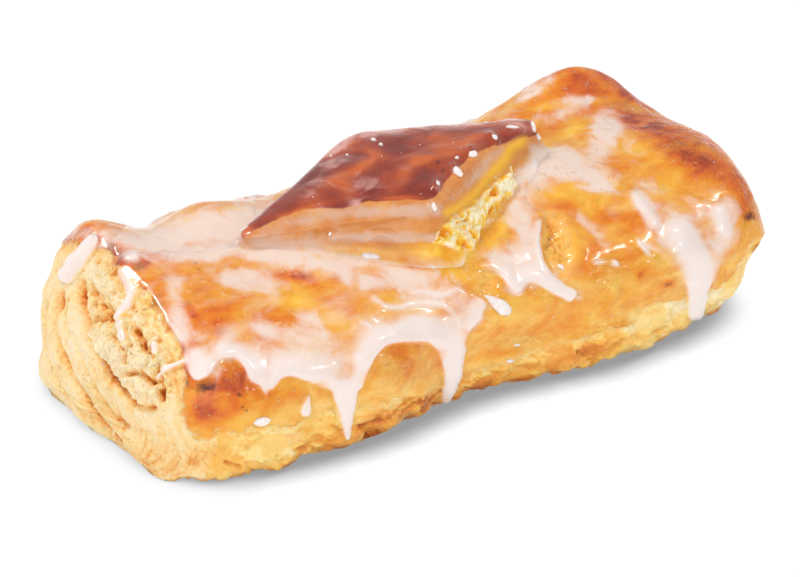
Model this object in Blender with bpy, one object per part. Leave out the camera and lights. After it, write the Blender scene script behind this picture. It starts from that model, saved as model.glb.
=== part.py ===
"""An apple roll: a long puff pastry parcel with open folded ends, a lozenge of dough baked on top, and icing.

+Z is up, +X runs along the roll, -Y is the side that the icing runs down, and the base stands at Z = 0.
Sizes here are millimetres. MM turns them into metres where a mesh is made.
"""

import math

import bmesh
import bpy
import numpy as np
from mathutils import Matrix, Vector, noise
from mathutils.bvhtree import BVHTree

MM = 0.001

# The body. Its tables run from the near end to the far end, at STATIONS as shares of half the length.
LENGTH = 149.5
END_ROUNDING = 13.75
END_SQUARENESS = 3.0
END_SHARE = 0.25
UPPER_SQUARENESS = 2.7
LOWER_SQUARENESS = 6.0
BELLY_SHARE = 0.42
BASE_SINK = 0.9
STATIONS = (-1.0, -0.55, 0.0, 0.55, 1.0)
FRONT_HALF_WIDTH = (29, 32, 31.5, 32, 29.5)
BACK_HALF_WIDTH = (28.5, 29, 29, 33, 33)
FRONT_HEIGHT = (27, 27, 28, 28.5, 30)
CROWN_HEIGHT = (34, 34, 33.5, 34.5, 35)
BACK_HEIGHT = (35, 34, 34, 34.5, 33)

# How far each end stands in from its furthest point, at heights up its face.
LEAN_HEIGHTS = (0, 9, 16, 34)
NEAR_END_LEAN = (-1.7, 1, 0.3, 5)
FAR_END_LEAN = (9, 3, -2.5, 2.5)
LEAN_REACH = (35, 70)

# Puffs and dips of the top: x, y, height, reach along x, reach along y.
PUFFS = (
    (-70, 20, 6.0, 10, 12),
    (-49, 21, -2.0, 7, 9),
    (56, 22, 9.0, 17, 9),
    (-8, 24, -1.0, 25, 10),
)
PUFF_FLOOR = 8.0

# The lap seam along the top, as x and y. The front sheet ends on it, a step above the back sheet.
SEAM = ((-64, 4), (-40, -2), (31, 1), (49, 5.5), (62, 9))
SEAM_STEP = 1.6
SEAM_WIDTH = 3.0
SEAM_FADE = 16.0

# Relief of the ends, as lines of y and z: grooves have a width and a depth, lobes a width and a height.
END_GROOVES = (
    (((19, 24), (17, 16), (9, 9), (-3, 6), (-13, 4)), 1.9, 2.2),
    (((8, 30), (7, 24), (2, 17), (-9, 14.5), (-17, 13), (-24, 15), (-28, 21)), 2.0, 2.4),
)
END_LOBES = (
    (((21, 12), (13, 4), (0, 1)), 4.0, 1.0),
    (((13, 19), (7, 12), (-6, 9), (-18, 8), (-26, 11)), 3.6, 1.6),
)
FAR_END_SHARE = 0.6
CORE_MIDDLE = (-9, 23)
CORE_REACH = (16, 8)
CORE_LUMP = 4.5
CORE_DEPTH = 1.5

# Lumps of the whole crust, and the flaky strip along the foot of the sides.
CRUST_LUMP = 17.0
CRUST_LUMP_HEIGHT = 0.8
FLAKE_TOP = 10.0
FLAKE_LUMP = 5.0
FLAKE_HEIGHT = 0.9
FOOT_FLARE = 0.7

# Blisters of the front: x, y, z, reach, height.
BLISTERS = (
    (-60, -29, 23, 5.0, 2.4),
    (-24, -31, 14, 8.0, 1.4),
    (24, -29, 22, 7.0, 1.2),
)

RINGS = 72
POINTS_ROUND = 62
DENSE = 4000

# The lozenge's corners, from the near tip round by the front: x, y and z for its top face, x and y for its foot.
# The third corner draws the torn side's top edge in over its foot.
LOZENGE_TOP = ((-41, -1.5, 35.8), (-5, -19, 38.6), (12, -7.5, 40.8), (35, 1, 40.4), (-2.5, 18, 39))
LOZENGE_FOOT = ((-42.5, -1.5), (-4, -22), (15, -11.5), (36.5, 0.5), (-2.5, 19))
LOZENGE_CROWN = 2.2
LOZENGE_CORNER_ROUNDING = 0.13
LOZENGE_EDGE_DROP = 1.0
LOZENGE_GAP = 0.45
LOZENGE_POINTS = 48
LOZENGE_RINGS = 7
LOZENGE_WALL_RINGS = (0.3, 0.7)

# Thick icing. A run is the side it lies on, its points and its half width at each. On the front a point is
# (x, z), and on the near end it is (y, z).
ICING_STANDS_OUT = 1.2
ICING_SINKS_IN = 1.6
ICING_FULL_HALF_WIDTH = 1.6
ICING_STEP = 2.6
ICING_SIDES = 8
ICING_TIP = 0.7
ICING_RUNS = (
    ("front", ((-66, 25.5), (-62, 25.5), (-56, 24.5), (-50, 21), (-43, 18.5)), (1.5, 2.4, 1.6, 2, 2)),
    ("front", ((-46, 19), (-36, 18.5), (-28, 20), (-15, 19), (-5, 21)), (2, 2.2, 1.8, 2.2, 1.6)),
    ("front", ((-38.5, 20), (-38, 15), (-36.5, 9), (-35.2, 3)), (4.2, 3.8, 2.4, 1.0)),
    ("front", ((-9.5, 22), (-9.8, 15), (-10.4, 8), (-11.6, 3)), (4.0, 3.2, 2.2, 1.5)),
    ("front", ((-54, 22), (-53, 19.5), (-52.6, 16.5)), (2.2, 1.6, 0.9)),
    ("front", ((41, 27), (46, 22), (48.8, 14), (50, 4)), (3.6, 3.6, 2.4, 1.8)),
    ("front", ((2, 25), (6, 21)), (2.2, 1.1)),
    ("front", ((12, 27), (16, 21.5), (19.5, 17)), (2.4, 2.0, 1.1)),
    ("near_end", ((13.5, 33.5), (13, 30), (12.8, 27)), (1.9, 2.2, 2.0)),
    ("near_end", ((0.5, 31), (-2, 28), (-5.5, 25)), (1.5, 1.0, 1.2)),
    ("near_end", ((-4, 30.5), (-10, 29), (-15.5, 27.5)), (1.2, 1.5, 1.2)),
)
OUTSIDE = 200.0

CRUST_COLOUR = (0.72, 0.38, 0.12)
CRUST_ROUGHNESS = 0.45
LOZENGE_COLOUR = (0.27, 0.07, 0.03)
LOZENGE_ROUGHNESS = 0.3
SHARP_ANGLE = math.radians(50)


def clear_scene():
    for obj in list(bpy.data.objects):
        bpy.data.objects.remove(obj)


def signed_power(value, power):
    return np.sign(value) * np.abs(value) ** power


def smooth_step(value, low, high):
    t = np.clip((value - low) / (high - low), 0.0, 1.0)
    return t * t * (3 - 2 * t)


def unit(vectors):
    return vectors / np.maximum(np.linalg.norm(vectors, axis=-1, keepdims=True), 1e-9)


def length_along(points):
    """Distance from the first point to each point of a line."""
    steps = np.linalg.norm(np.diff(points, axis=0), axis=1)
    return np.concatenate([[0], np.cumsum(steps)])


def along_roll(values, share):
    """A smooth curve through the values at STATIONS, read at a share of half the length."""
    knots = np.array(STATIONS)
    heights = np.array(values, dtype=float)
    slopes = np.gradient(heights, knots)
    share = np.clip(share, -1.0, 1.0)
    i = np.clip(np.searchsorted(knots, share) - 1, 0, len(knots) - 2)
    step = knots[i + 1] - knots[i]
    t = (share - knots[i]) / step
    return (
        (2 * t**3 - 3 * t**2 + 1) * heights[i]
        + (t**3 - 2 * t**2 + t) * step * slopes[i]
        + (3 * t**2 - 2 * t**3) * heights[i + 1]
        + (t**3 - t**2) * step * slopes[i + 1]
    )


def end_profile(share):
    """(x, size of the section) for a share from 0 at the near end's middle to 1 at the far end's."""
    half = LENGTH / 2
    turn = np.clip(np.minimum(share, 1 - share) / END_SHARE, 0, 1) * math.pi / 2
    size = np.sin(turn) ** (2 / END_SQUARENESS)
    depth = END_ROUNDING * (1 - np.cos(turn) ** (2 / END_SQUARENESS))
    straight = np.clip((share - END_SHARE) / (1 - 2 * END_SHARE), 0, 1)
    x = -half + END_ROUNDING + straight * (LENGTH - 2 * END_ROUNDING)
    x = np.where(share < END_SHARE, -half + depth, x)
    x = np.where(share > 1 - END_SHARE, half - depth, x)
    return x, size


def body_point(x, size, angle):
    """The plain body's point for a station, a size of the section from 0 to 1, and an angle round it."""
    share = x / (LENGTH / 2)
    rise = np.sin(angle)
    squareness = np.where(rise > 0, UPPER_SQUARENESS, LOWER_SQUARENESS)
    across = signed_power(np.cos(angle), 2 / squareness) * size
    up = signed_power(rise, 2 / squareness) * size
    y = across * np.where(across < 0, along_roll(FRONT_HALF_WIDTH, share), along_roll(BACK_HALF_WIDTH, share))

    front, crown, back = (along_roll(v, share) for v in (FRONT_HEIGHT, CROWN_HEIGHT, BACK_HEIGHT))
    height = crown + (back - front) / 2 * across + ((back + front) / 2 - crown) * across**2
    z = np.where(up > 0, height * (BELLY_SHARE + (1 - BELLY_SHARE) * up), height * BELLY_SHARE * (1 + up))
    for puff_x, puff_y, puff, reach_x, reach_y in PUFFS:
        near = np.exp(-(((x - puff_x) / reach_x) ** 2) - ((y - puff_y) / reach_y) ** 2)
        z = z + puff * near * np.clip((z - PUFF_FLOOR) / height, 0, 1)

    near_lean, far_lean = (np.interp(z, LEAN_HEIGHTS, v) for v in (NEAR_END_LEAN, FAR_END_LEAN))
    x = x + np.where(x < 0, near_lean, -far_lean) * smooth_step(np.abs(x), *LEAN_REACH)
    return np.stack([x, y, z - BASE_SINK], axis=-1)


def even_shares(points, wanted):
    """Shares along a line of points that lie at even distances."""
    length = length_along(points)
    return np.interp(wanted * length[-1], length, np.linspace(0, 1, len(points)))


def roll_grid():
    """The plain body as rings of points, from the near end to the far end, and the size of each ring."""
    x, size = end_profile(np.linspace(0, 1, DENSE))
    profile = np.column_stack([x, size * FRONT_HALF_WIDTH[0]])
    stations, sizes = end_profile(even_shares(profile, np.linspace(0, 1, RINGS)))
    section = body_point(np.zeros(DENSE), np.ones(DENSE), np.linspace(0, 2 * math.pi, DENSE))
    round_shares = np.linspace(0, 1, POINTS_ROUND, endpoint=False)
    angles = even_shares(section[:, 1:], round_shares) * 2 * math.pi
    stations, angles = np.meshgrid(stations, angles, indexing="ij")
    grid = body_point(stations, sizes[:, None], angles)
    grid[..., 2] = np.maximum(grid[..., 2], 0)
    return grid, sizes


def grid_normals(grid, sizes):
    """Outward normals of a grid of rings, turned straight along the roll where a ring is small."""
    along = np.gradient(grid, axis=0)
    around = np.roll(grid, -1, axis=1) - np.roll(grid, 1, axis=1)
    normals = unit(np.cross(around, along))
    outward = np.zeros_like(grid)
    outward[..., 0] = np.sign(np.arange(len(grid)) - len(grid) / 2)[:, None]
    straight = 1 - smooth_step(sizes, 0.2, 0.6)[:, None, None]
    return unit(normals * (1 - straight) + outward * straight)


def lumps(points, size, seed):
    """Smooth noise from -1 to 1 at each point, with lumps of the given size."""
    places = points.reshape(-1, 3) / size + seed * np.array((7.3, 3.1, 5.7))
    values = np.array([noise.noise(Vector(place)) for place in places])
    return np.clip(values.reshape(points.shape[:-1]) * 1.6, -1, 1)


def ridge(a, b, line, width):
    """1 on a line of straight stretches through the plane of a and b, falling to 0 over the width."""
    nearest = np.full(a.shape, np.inf)
    for (a0, b0), (a1, b1) in zip(line[:-1], line[1:]):
        run_a, run_b = a1 - a0, b1 - b0
        t = np.clip(((a - a0) * run_a + (b - b0) * run_b) / (run_a**2 + run_b**2), 0, 1)
        nearest = np.minimum(nearest, np.hypot(a - a0 - t * run_a, b - b0 - t * run_b))
    return np.exp(-((nearest / width) ** 2))


def end_relief(grid):
    """Folds and torn core of an end, as relief over its y and z."""
    y, z = grid[..., 1], grid[..., 2]
    relief = np.zeros(y.shape)
    for line, width, depth in END_GROOVES:
        relief -= depth * ridge(y, z, line, width)
    for line, width, height in END_LOBES:
        relief += height * ridge(y, z, line, width)
    from_core = ((y - CORE_MIDDLE[0]) / CORE_REACH[0]) ** 4 + ((z - CORE_MIDDLE[1]) / CORE_REACH[1]) ** 4
    return relief + CORE_DEPTH * np.exp(-from_core) * (lumps(grid, CORE_LUMP, 2) - 0.6)


def crust_relief(grid, normals):
    """How far the crust stands out from the plain body, along its normal."""
    x, y, z = grid[..., 0], grid[..., 1], grid[..., 2]
    facing_up = smooth_step(normals[..., 2], 0.2, 0.7)
    facing_end = smooth_step(np.abs(normals[..., 0]), 0.45, 0.8)
    facing_side = 1 - np.maximum(facing_up, facing_end)

    behind = y - np.interp(x, *zip(*SEAM))
    step = smooth_step(behind, 0, SEAM_WIDTH) * (1 - smooth_step(behind, SEAM_WIDTH, SEAM_FADE))
    relief = CRUST_LUMP_HEIGHT * lumps(grid, CRUST_LUMP, 1) - SEAM_STEP * facing_up * step
    relief += facing_end * np.where(x < 0, 1, FAR_END_SHARE) * end_relief(grid)

    foot = facing_side * (1 - smooth_step(z, FLAKE_TOP - 3, FLAKE_TOP + 1))
    relief += foot * (FOOT_FLARE + FLAKE_HEIGHT * lumps(grid, FLAKE_LUMP, 3))
    for *middle, reach, height in BLISTERS:
        away = np.linalg.norm(grid - np.array(middle), axis=-1)
        relief += height * np.exp(-((away / reach) ** 2))
    return relief


def raised(grid, sizes):
    """The grid moved out by its relief, with the flat of the base kept."""
    normals = grid_normals(grid, sizes)
    relief = crust_relief(grid, normals)
    resting = grid[..., 2] <= 0
    moved = grid + np.where(resting, 0, relief)[..., None] * normals
    moved[..., 2] = np.where(resting, 0, np.maximum(moved[..., 2], 0))
    return moved


def closed_tube(name, grid):
    """A solid from rings of points in millimetres, whose first and last rings shrink to a point."""
    rings = grid[1:-1] * MM
    count = rings.shape[1]
    points = [*rings.reshape(-1, 3), grid[0].mean(axis=0) * MM, grid[-1].mean(axis=0) * MM]
    first_tip, last_tip = len(points) - 2, len(points) - 1
    last = (len(rings) - 1) * count
    faces = []
    for j in range(count):
        k = (j + 1) % count
        for i in range(0, last, count):
            faces.append((i + j, i + k, i + count + k, i + count + j))
        faces.append((first_tip, k, j))
        faces.append((last_tip, last + j, last + k))

    mesh = bpy.data.meshes.new(name)
    mesh.from_pydata([tuple(point) for point in points], [], faces)
    work = bmesh.new()
    work.from_mesh(mesh)
    bmesh.ops.recalc_face_normals(work, faces=work.faces)
    work.to_mesh(mesh)
    work.free()
    mesh.shade_smooth()
    obj = bpy.data.objects.new(name, mesh)
    bpy.context.scene.collection.objects.link(obj)
    return obj


def surface_of(obj):
    mesh = obj.data
    return BVHTree.FromPolygons([v.co for v in mesh.vertices], [p.vertices[:] for p in mesh.polygons])


def rounded_loop(corners):
    """Even points round a loop of corners, with the corners rounded."""
    corners = np.array(corners, dtype=float)
    points = []
    for before, corner, after in zip(np.roll(corners, 1, axis=0), corners, np.roll(corners, -1, axis=0)):
        start = corner + (before - corner) * LOZENGE_CORNER_ROUNDING
        stop = corner + (after - corner) * LOZENGE_CORNER_ROUNDING
        for t in np.linspace(0, 1, 12):
            points.append((1 - t) ** 2 * start + 2 * t * (1 - t) * corner + t**2 * stop)
    loop = np.array([*points, points[0]])
    length = length_along(loop)
    wanted = np.linspace(0, length[-1], LOZENGE_POINTS, endpoint=False)
    return np.column_stack([np.interp(wanted, length, values) for values in loop.T])


def above_roll(surface, places, reach=1.2):
    """Points at the gap above the highest of the roll's top near each place."""
    near = [(0, 0), (reach, 0), (-reach, 0), (0, reach), (0, -reach)]
    points = []
    for x, y in places:
        starts = [Vector((x + dx, y + dy, OUTSIDE)) * MM for dx, dy in near]
        top = max(surface.ray_cast(start, Vector((0, 0, -1)))[0].z for start in starts)
        points.append((x, y, top / MM + LOZENGE_GAP))
    return np.array(points)


def make_lozenge(surface):
    """The slab on top: a crowned face, a wall that spreads to its foot, and an underside on the roll."""
    top = rounded_loop(LOZENGE_TOP)
    foot = rounded_loop(LOZENGE_FOOT)
    top_middle, foot_middle = top.mean(axis=0), foot.mean(axis=0)
    rings = []
    for spread in np.linspace(0, 1, LOZENGE_RINGS):
        ring = top_middle + (top - top_middle) * spread
        ring[:, 2] += LOZENGE_CROWN * (1 - spread**2.5)
        rings.append(ring)
    rings[-1][:, 2] -= LOZENGE_EDGE_DROP
    wall_foot = above_roll(surface, foot)
    for share in LOZENGE_WALL_RINGS:
        rings.append(rings[LOZENGE_RINGS - 1] * (1 - share) + wall_foot * share)
    for spread in np.linspace(1, 0, LOZENGE_RINGS):
        rings.append(above_roll(surface, foot_middle + (foot - foot_middle) * spread))
    return closed_tube("lozenge", np.array(rings))


def curve_through(points, stretches=8):
    """A smooth curve that passes through the points."""
    line = np.array(points, dtype=float)
    padded = np.concatenate([[2 * line[0] - line[1]], line, [2 * line[-1] - line[-2]]])
    curve = []
    for before, start, stop, after in zip(padded[:-3], padded[1:-2], padded[2:-1], padded[3:]):
        for t in np.arange(stretches) / stretches:
            square = (2 * before - 5 * start + 4 * stop - after) * t**2
            cube = (3 * start - before - 3 * stop + after) * t**3
            curve.append(0.5 * (2 * start + (stop - before) * t + square + cube))
    return np.array([*curve, line[-1]])


def laid_on(surface, side, places):
    """Points and normals of the surface that a side's places reach straight in."""
    points, normals = [], []
    for a, b in places:
        if side == "front":
            start, way = Vector((a, -OUTSIDE, b)), Vector((0, 1, 0))
        else:
            start, way = Vector((-OUTSIDE, a, b)), Vector((1, 0, 0))
        point, normal, _, _ = surface.ray_cast(start * MM, way)
        points.append(point / MM)
        normals.append(normal)
    return np.array(points), np.array(normals)


def run_of_icing(name, surface, side, points, half_widths):
    """A flattened tapering tube that lies half sunk in the crust."""
    line = curve_through([(*point, half) for point, half in zip(points, half_widths)])
    length = length_along(line[:, :2])
    wanted = np.linspace(0, length[-1], max(3, round(length[-1] / ICING_STEP) + 1))
    a, b, half = (np.interp(wanted, length, line[:, k]) for k in range(3))
    spine, normals = laid_on(surface, side, zip(a, b))
    ahead = unit(np.gradient(spine, axis=0))
    across = unit(np.cross(ahead, normals))

    turn = np.linspace(0, 2 * math.pi, ICING_SIDES, endpoint=False)
    out = (ICING_STANDS_OUT - ICING_SINKS_IN + (ICING_STANDS_OUT + ICING_SINKS_IN) * np.sin(turn)) / 2
    thickness = np.minimum(half / ICING_FULL_HALF_WIDTH, 1)
    rings = spine[:, None] + np.multiply.outer(half, np.cos(turn))[..., None] * across[:, None]
    rings = rings + np.multiply.outer(thickness, out)[..., None] * normals[:, None]
    tips = spine[[0, -1]] + ahead[[0, -1]] * half[[0, -1], None] * ICING_TIP * np.array(((-1,), (1,)))
    first, last = (np.repeat(tip[None, None], ICING_SIDES, axis=1) for tip in tips)
    return closed_tube(name, np.concatenate([first, rings, last]))


def keep_outer_shell(mesh):
    """Leaves only the largest connected shell, so that sealed hollows are filled and scraps are dropped."""
    work = bmesh.new()
    work.from_mesh(mesh)
    left = set(work.verts)
    shells = []
    while left:
        shell = set()
        front = {left.pop()}
        while front:
            shell |= front
            front = {edge.other_vert(vert) for vert in front for edge in vert.link_edges} - shell
        left -= shell
        shells.append(shell)
    largest = max(shells, key=len)
    loose = [vert for shell in shells if shell is not largest for vert in shell]
    bmesh.ops.delete(work, geom=loose, context="VERTS")
    work.to_mesh(mesh)
    work.free()


def fuse(obj, helpers):
    """Joins the helpers to the object in one union, and removes them."""
    group = bpy.data.collections.new("helpers")
    bpy.context.scene.collection.children.link(group)
    for helper in helpers:
        group.objects.link(helper)
        bpy.context.scene.collection.objects.unlink(helper)
    union = obj.modifiers.new("fused", "BOOLEAN")
    union.operation = "UNION"
    union.operand_type = "COLLECTION"
    union.collection = group
    graph = bpy.context.evaluated_depsgraph_get()
    obj_mesh = bpy.data.meshes.new_from_object(obj.evaluated_get(graph))
    obj.modifiers.clear()
    obj.data = obj_mesh
    for helper in helpers:
        bpy.data.objects.remove(helper)
    bpy.data.collections.remove(group)
    keep_outer_shell(obj_mesh)
    obj_mesh.set_sharp_from_angle(angle=SHARP_ANGLE)


def centre_on_floor(objects):
    """Moves the meshes so that the middle of their box stands over the origin, and returns the move."""
    corners = np.array([vert.co for obj in objects for vert in obj.data.vertices])
    low, high = corners.min(axis=0), corners.max(axis=0)
    move = Matrix.Translation((-(low[0] + high[0]) / 2, -(low[1] + high[1]) / 2, -low[2]))
    for obj in objects:
        obj.data.transform(move)
    return move.translation


def give_material(obj, colour, roughness):
    material = bpy.data.materials.new(obj.name)
    material.use_nodes = True
    shader = material.node_tree.nodes["Principled BSDF"]
    shader.inputs["Base Color"].default_value = (*colour, 1)
    shader.inputs["Roughness"].default_value = roughness
    shader.inputs["Metallic"].default_value = 0
    obj.data.materials.clear()
    obj.data.materials.append(material)


def main():
    clear_scene()
    roll = closed_tube("roll", raised(*roll_grid()))
    surface = surface_of(roll)
    slab = make_lozenge(surface)
    fuse(roll, [run_of_icing(f"icing_{i}", surface, *run) for i, run in enumerate(ICING_RUNS)])
    give_material(roll, CRUST_COLOUR, CRUST_ROUGHNESS)
    give_material(slab, LOZENGE_COLOUR, LOZENGE_ROUGHNESS)
    return centre_on_floor([roll, slab])


if __name__ == "__main__":
    main()
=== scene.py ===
"""An apple roll of puff pastry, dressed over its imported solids: crust, flaky ends, lozenge, icing and small bits."""

import itertools
import math

import bmesh
import bpy
import numpy as np
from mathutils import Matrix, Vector, noise
from mathutils.bvhtree import BVHTree


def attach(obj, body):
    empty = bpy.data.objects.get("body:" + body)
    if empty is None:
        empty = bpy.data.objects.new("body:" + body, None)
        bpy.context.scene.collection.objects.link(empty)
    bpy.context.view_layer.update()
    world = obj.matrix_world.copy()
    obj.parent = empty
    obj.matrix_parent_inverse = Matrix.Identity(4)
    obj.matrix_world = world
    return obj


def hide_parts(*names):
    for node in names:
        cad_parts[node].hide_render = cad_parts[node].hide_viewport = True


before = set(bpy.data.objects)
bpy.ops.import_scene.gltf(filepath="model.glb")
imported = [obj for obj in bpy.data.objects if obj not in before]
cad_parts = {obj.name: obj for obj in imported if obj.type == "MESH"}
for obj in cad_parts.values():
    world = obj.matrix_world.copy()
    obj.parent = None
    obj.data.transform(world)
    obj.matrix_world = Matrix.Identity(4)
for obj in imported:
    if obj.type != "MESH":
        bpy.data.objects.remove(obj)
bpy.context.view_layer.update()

bl_info = {
    "name": "Apple Roll",
    "version": (1, 0, 0),
    "blender": (4, 5, 0),
    "location": "View3D > Sidebar > Apple Roll",
    "description": "Builds an iced apple roll of puff pastry around its packed solids",
    "category": "Add Mesh",
}

MM = 0.001

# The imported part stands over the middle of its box. Everything here is laid out before that move, in millimetres.
CENTRING = (-1.03, -0.28, 0.0)

# The photograph's frame and view.
FRAME_WIDTH = 800
FRAME_HEIGHT = 577
LENS = 166.0
SENSOR = 36.0
VIEW_TURN = math.radians(-33)
VIEW_RISE = math.radians(28.5)
VIEW_DISTANCE = 750.0
VIEW_TARGET = (-1.8, 0.0, 11.2)
PX_PER_MM = 4.92

# The body, with the same named sizes as its solid.
LENGTH = 149.5
END_ROUNDING = 13.75
END_SQUARENESS = 3.0
END_SHARE = 0.25
UPPER_SQUARENESS = 2.7
LOWER_SQUARENESS = 6.0
BELLY_SHARE = 0.42
BASE_SINK = 0.9
STATIONS = (-1.0, -0.55, 0.0, 0.55, 1.0)
FRONT_HALF_WIDTH = (29, 32, 31.5, 32, 29.5)
BACK_HALF_WIDTH = (28.5, 29, 29, 33, 33)
FRONT_HEIGHT = (27, 27, 28, 28.5, 30)
CROWN_HEIGHT = (34, 34, 33.5, 34.5, 35)
BACK_HEIGHT = (35, 34, 34, 34.5, 33)
LEAN_HEIGHTS = (0, 9, 16, 34)
NEAR_END_LEAN = (-1.7, 1, 0.3, 5)
FAR_END_LEAN = (9, 3, -2.5, 2.5)
LEAN_REACH = (35, 70)
PUFFS = (
    (-70, 20, 6.0, 10, 12),
    (-49, 21, -2.0, 7, 9),
    (56, 22, 9.0, 17, 9),
    (-8, 24, -1.0, 25, 10),
)
PUFF_FLOOR = 8.0
SEAM = ((-64, 4), (-40, -2), (31, 1), (49, 5.5), (62, 9))
SEAM_STEP = 1.6
SEAM_WIDTH = 3.0
SEAM_FADE = 16.0
# The seam's step softens from the first x to the second.
SOFTENED_FROM = (-30, 15)
CRUST_LUMP = 17.0
CRUST_LUMP_HEIGHT = 0.8
FLAKE_TOP = 10.0
FLAKE_LUMP = 5.0
FLAKE_HEIGHT = 0.9
FOOT_FLARE = 0.7
BLISTERS = (
    (-60, -29, 23, 5.0, 2.4),
    (-24, -31, 14, 8.0, 1.4),
    (24, -29, 22, 7.0, 1.2),
)

# The lozenge, with the same named sizes as its solid.
LOZENGE_TOP = ((-42, -1.8, 35.4), (-5, -19, 38.6), (12, -7.5, 40.6), (31.5, 0.5, 40.2), (31, 3, 40), (-2.5, 18, 39.8))
LOZENGE_FOOT = ((-42.5, -1.5), (-4, -22), (15, -11.5), (33, 0), (32.5, 3.5), (-2.5, 19))
LOZENGE_CROWN = 2.2
LOZENGE_CORNER_ROUNDING = 0.13

# Points of the lines that even spacing is measured on, and pieces of a curve from one of its points to the next.
DENSE = 4000
CURVE_STRETCHES = 3

# Lines and shapes of the photograph's frame, in pixels. Each is laid on what carries it by the view above.

# The line where the glazed crust ends: down the near end, then along the flaky foot of the front.
GLAZE_EDGE = (
    (40, 258), (58, 246), (75, 242), (93, 247), (107, 249), (115, 261), (124, 270), (134, 280), (147, 293),
    (157, 309), (166, 324), (179, 340), (184, 360), (186, 380), (184, 404), (191, 432), (199, 437), (218, 433),
    (243, 433), (262, 427), (287, 425), (312, 414), (329, 412), (358, 411), (364, 406), (387, 406), (400, 397),
    (429, 393), (463, 378), (480, 369), (518, 359), (553, 344), (596, 334), (629, 324), (645, 305), (670, 300),
    (684, 300), (716, 288), (738, 265), (751, 246), (768, 236),
)
FLAKY_SIDE = ((800, 222), (800, 640), (-60, 640), (-60, 258))

# The torn core of the near end, and its crevices as lines with a width and a depth.
CORE = (
    (96, 256), (86, 274), (83, 297), (87, 330), (96, 360), (112, 384), (130, 404), (146, 410), (160, 404),
    (174, 392), (181, 372), (175, 345), (160, 318), (143, 292), (127, 276), (110, 260),
)
CREVICES = (
    (((59, 292), (54, 312), (53, 330), (59, 352), (69, 374), (82, 397), (97, 420), (118, 442)), 3.2, 1.3),
    (((80, 282), (82, 300), (84, 318), (88, 336), (97, 358), (108, 377), (119, 390), (132, 405)), 4.0, 1.9),
    (((132, 405), (143, 410), (152, 408)), 3.0, 1.6),
    (((92, 344), (98, 358), (107, 370), (116, 384)), 3.5, 1.5),
    (((127, 374), (139, 374), (152, 383)), 3.0, 1.8),
    (((135, 328), (141, 340), (146, 350)), 3.5, 1.7),
    (((98, 322), (105, 318), (109, 310)), 5.0, 1.9),
    (((92, 290), (100, 298), (104, 305)), 3.5, 1.2),
    (((162, 390), (161, 400)), 2.5, 1.5),
    (((112, 336), (122, 350), (126, 362)), 3.0, 1.3),
    (((66, 300), (64, 318), (67, 336)), 2.5, 0.7),
    (((56, 298), (57, 306)), 5.0, 1.2),
    (((44, 304), (43, 332), (47, 358), (57, 385), (72, 406), (86, 420)), 2.2, 0.7),
    (((73, 334), (78, 356), (90, 384), (106, 408), (126, 428)), 2.2, 0.6),
    (((118, 420), (140, 432), (162, 436)), 2.2, 0.4),
)
SWELLS = (
    (((100, 348), (112, 352), (124, 364)), 9.0, 1.3),
    (((92, 334), (99, 330), (106, 326)), 5.0, 1.1),
    (((132, 384), (142, 388), (150, 396)), 8.0, 1.3),
    (((110, 290), (118, 304), (126, 318), (138, 322)), 7.0, 0.8),
    (((70, 292), (72, 312), (76, 334)), 7.0, 0.5),
    (((96, 270), (108, 280)), 8.0, 0.6),
)

# Icing sheets as loops, and runs of icing as tapering strokes: u, v, half width at the start and at the end.
ICING_SHEETS = (
    (
        (120, 267), (134, 279), (146, 290), (157, 308), (166, 324), (177, 339), (182, 356), (188, 373), (197, 383),
        (209, 377), (220, 364), (233, 361), (243, 370), (247, 382), (257, 387), (264, 392), (273, 391), (281, 381),
        (289, 378), (302, 382), (314, 386), (326, 391), (345, 396), (360, 390), (364, 384), (371, 367), (381, 352),
        (392, 345), (406, 345), (421, 345), (431, 348), (444, 356), (466, 352), (468, 341), (472, 331), (480, 321),
        (485, 311), (487, 302), (476, 293), (458, 284), (430, 268), (380, 250), (330, 240), (262, 225), (250, 190),
        (190, 190), (140, 212), (116, 236), (112, 254),
    ),
    (
        (507, 178), (510, 162), (520, 154), (533, 153), (540, 161), (537, 172), (529, 184), (526, 196), (531, 206),
        (546, 210), (544, 222), (542, 240), (544, 254), (549, 266), (558, 277), (568, 284), (579, 291), (572, 303),
        (557, 299), (544, 291), (532, 285), (524, 288), (516, 296), (509, 291), (504, 285), (495, 273), (476, 270),
        (475, 263), (492, 258), (505, 252), (511, 237), (507, 221), (500, 206), (502, 192),
    ),
    (
        (600, 196), (622, 190), (652, 188), (690, 194), (713, 201), (729, 201), (744, 212), (741, 236), (736, 253),
        (721, 267), (712, 286), (708, 306), (702, 320), (691, 321), (687, 313), (686, 298), (683, 284), (672, 272),
        (660, 257), (648, 250), (634, 236), (616, 226), (600, 212),
    ),
)
ICING_STROKES = (
    ((345, 388), (345.5, 418), 16, 8),
    ((345.5, 418), (346, 436), 8, 4),
    ((451, 350), (452, 376), 15.5, 10),
    ((452, 376), (446, 402), 10, 7),
    ((264, 389), (268, 401), 5, 1.5),
    ((308, 396), (305, 411), 3, 7),
    ((262, 422), (265, 421), 4.5, 3.5),
    ((93, 240), (75, 262), 7.5, 9.5),
    ((75, 262), (65, 275), 9.5, 9.5),
    ((122, 272), (131, 289), 7, 9),
    ((131, 289), (127, 305), 7, 4.5),
    ((127, 305), (116, 317), 4.5, 5),
    ((120, 322), (122, 338), 4, 6),
    ((152, 344), (153, 350), 6, 6),
    ((183, 361), (165, 368), 3.5, 4.5),
    ((165, 368), (157, 378), 4.5, 3.5),
    ((134, 258), (128, 260), 3.2, 2.5),
    ((614, 262), (617, 266), 4, 3.5),
    ((592, 265), (612, 261), 1.5, 3),
    ((636, 240), (656, 262), 3.5, 2),
)
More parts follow.
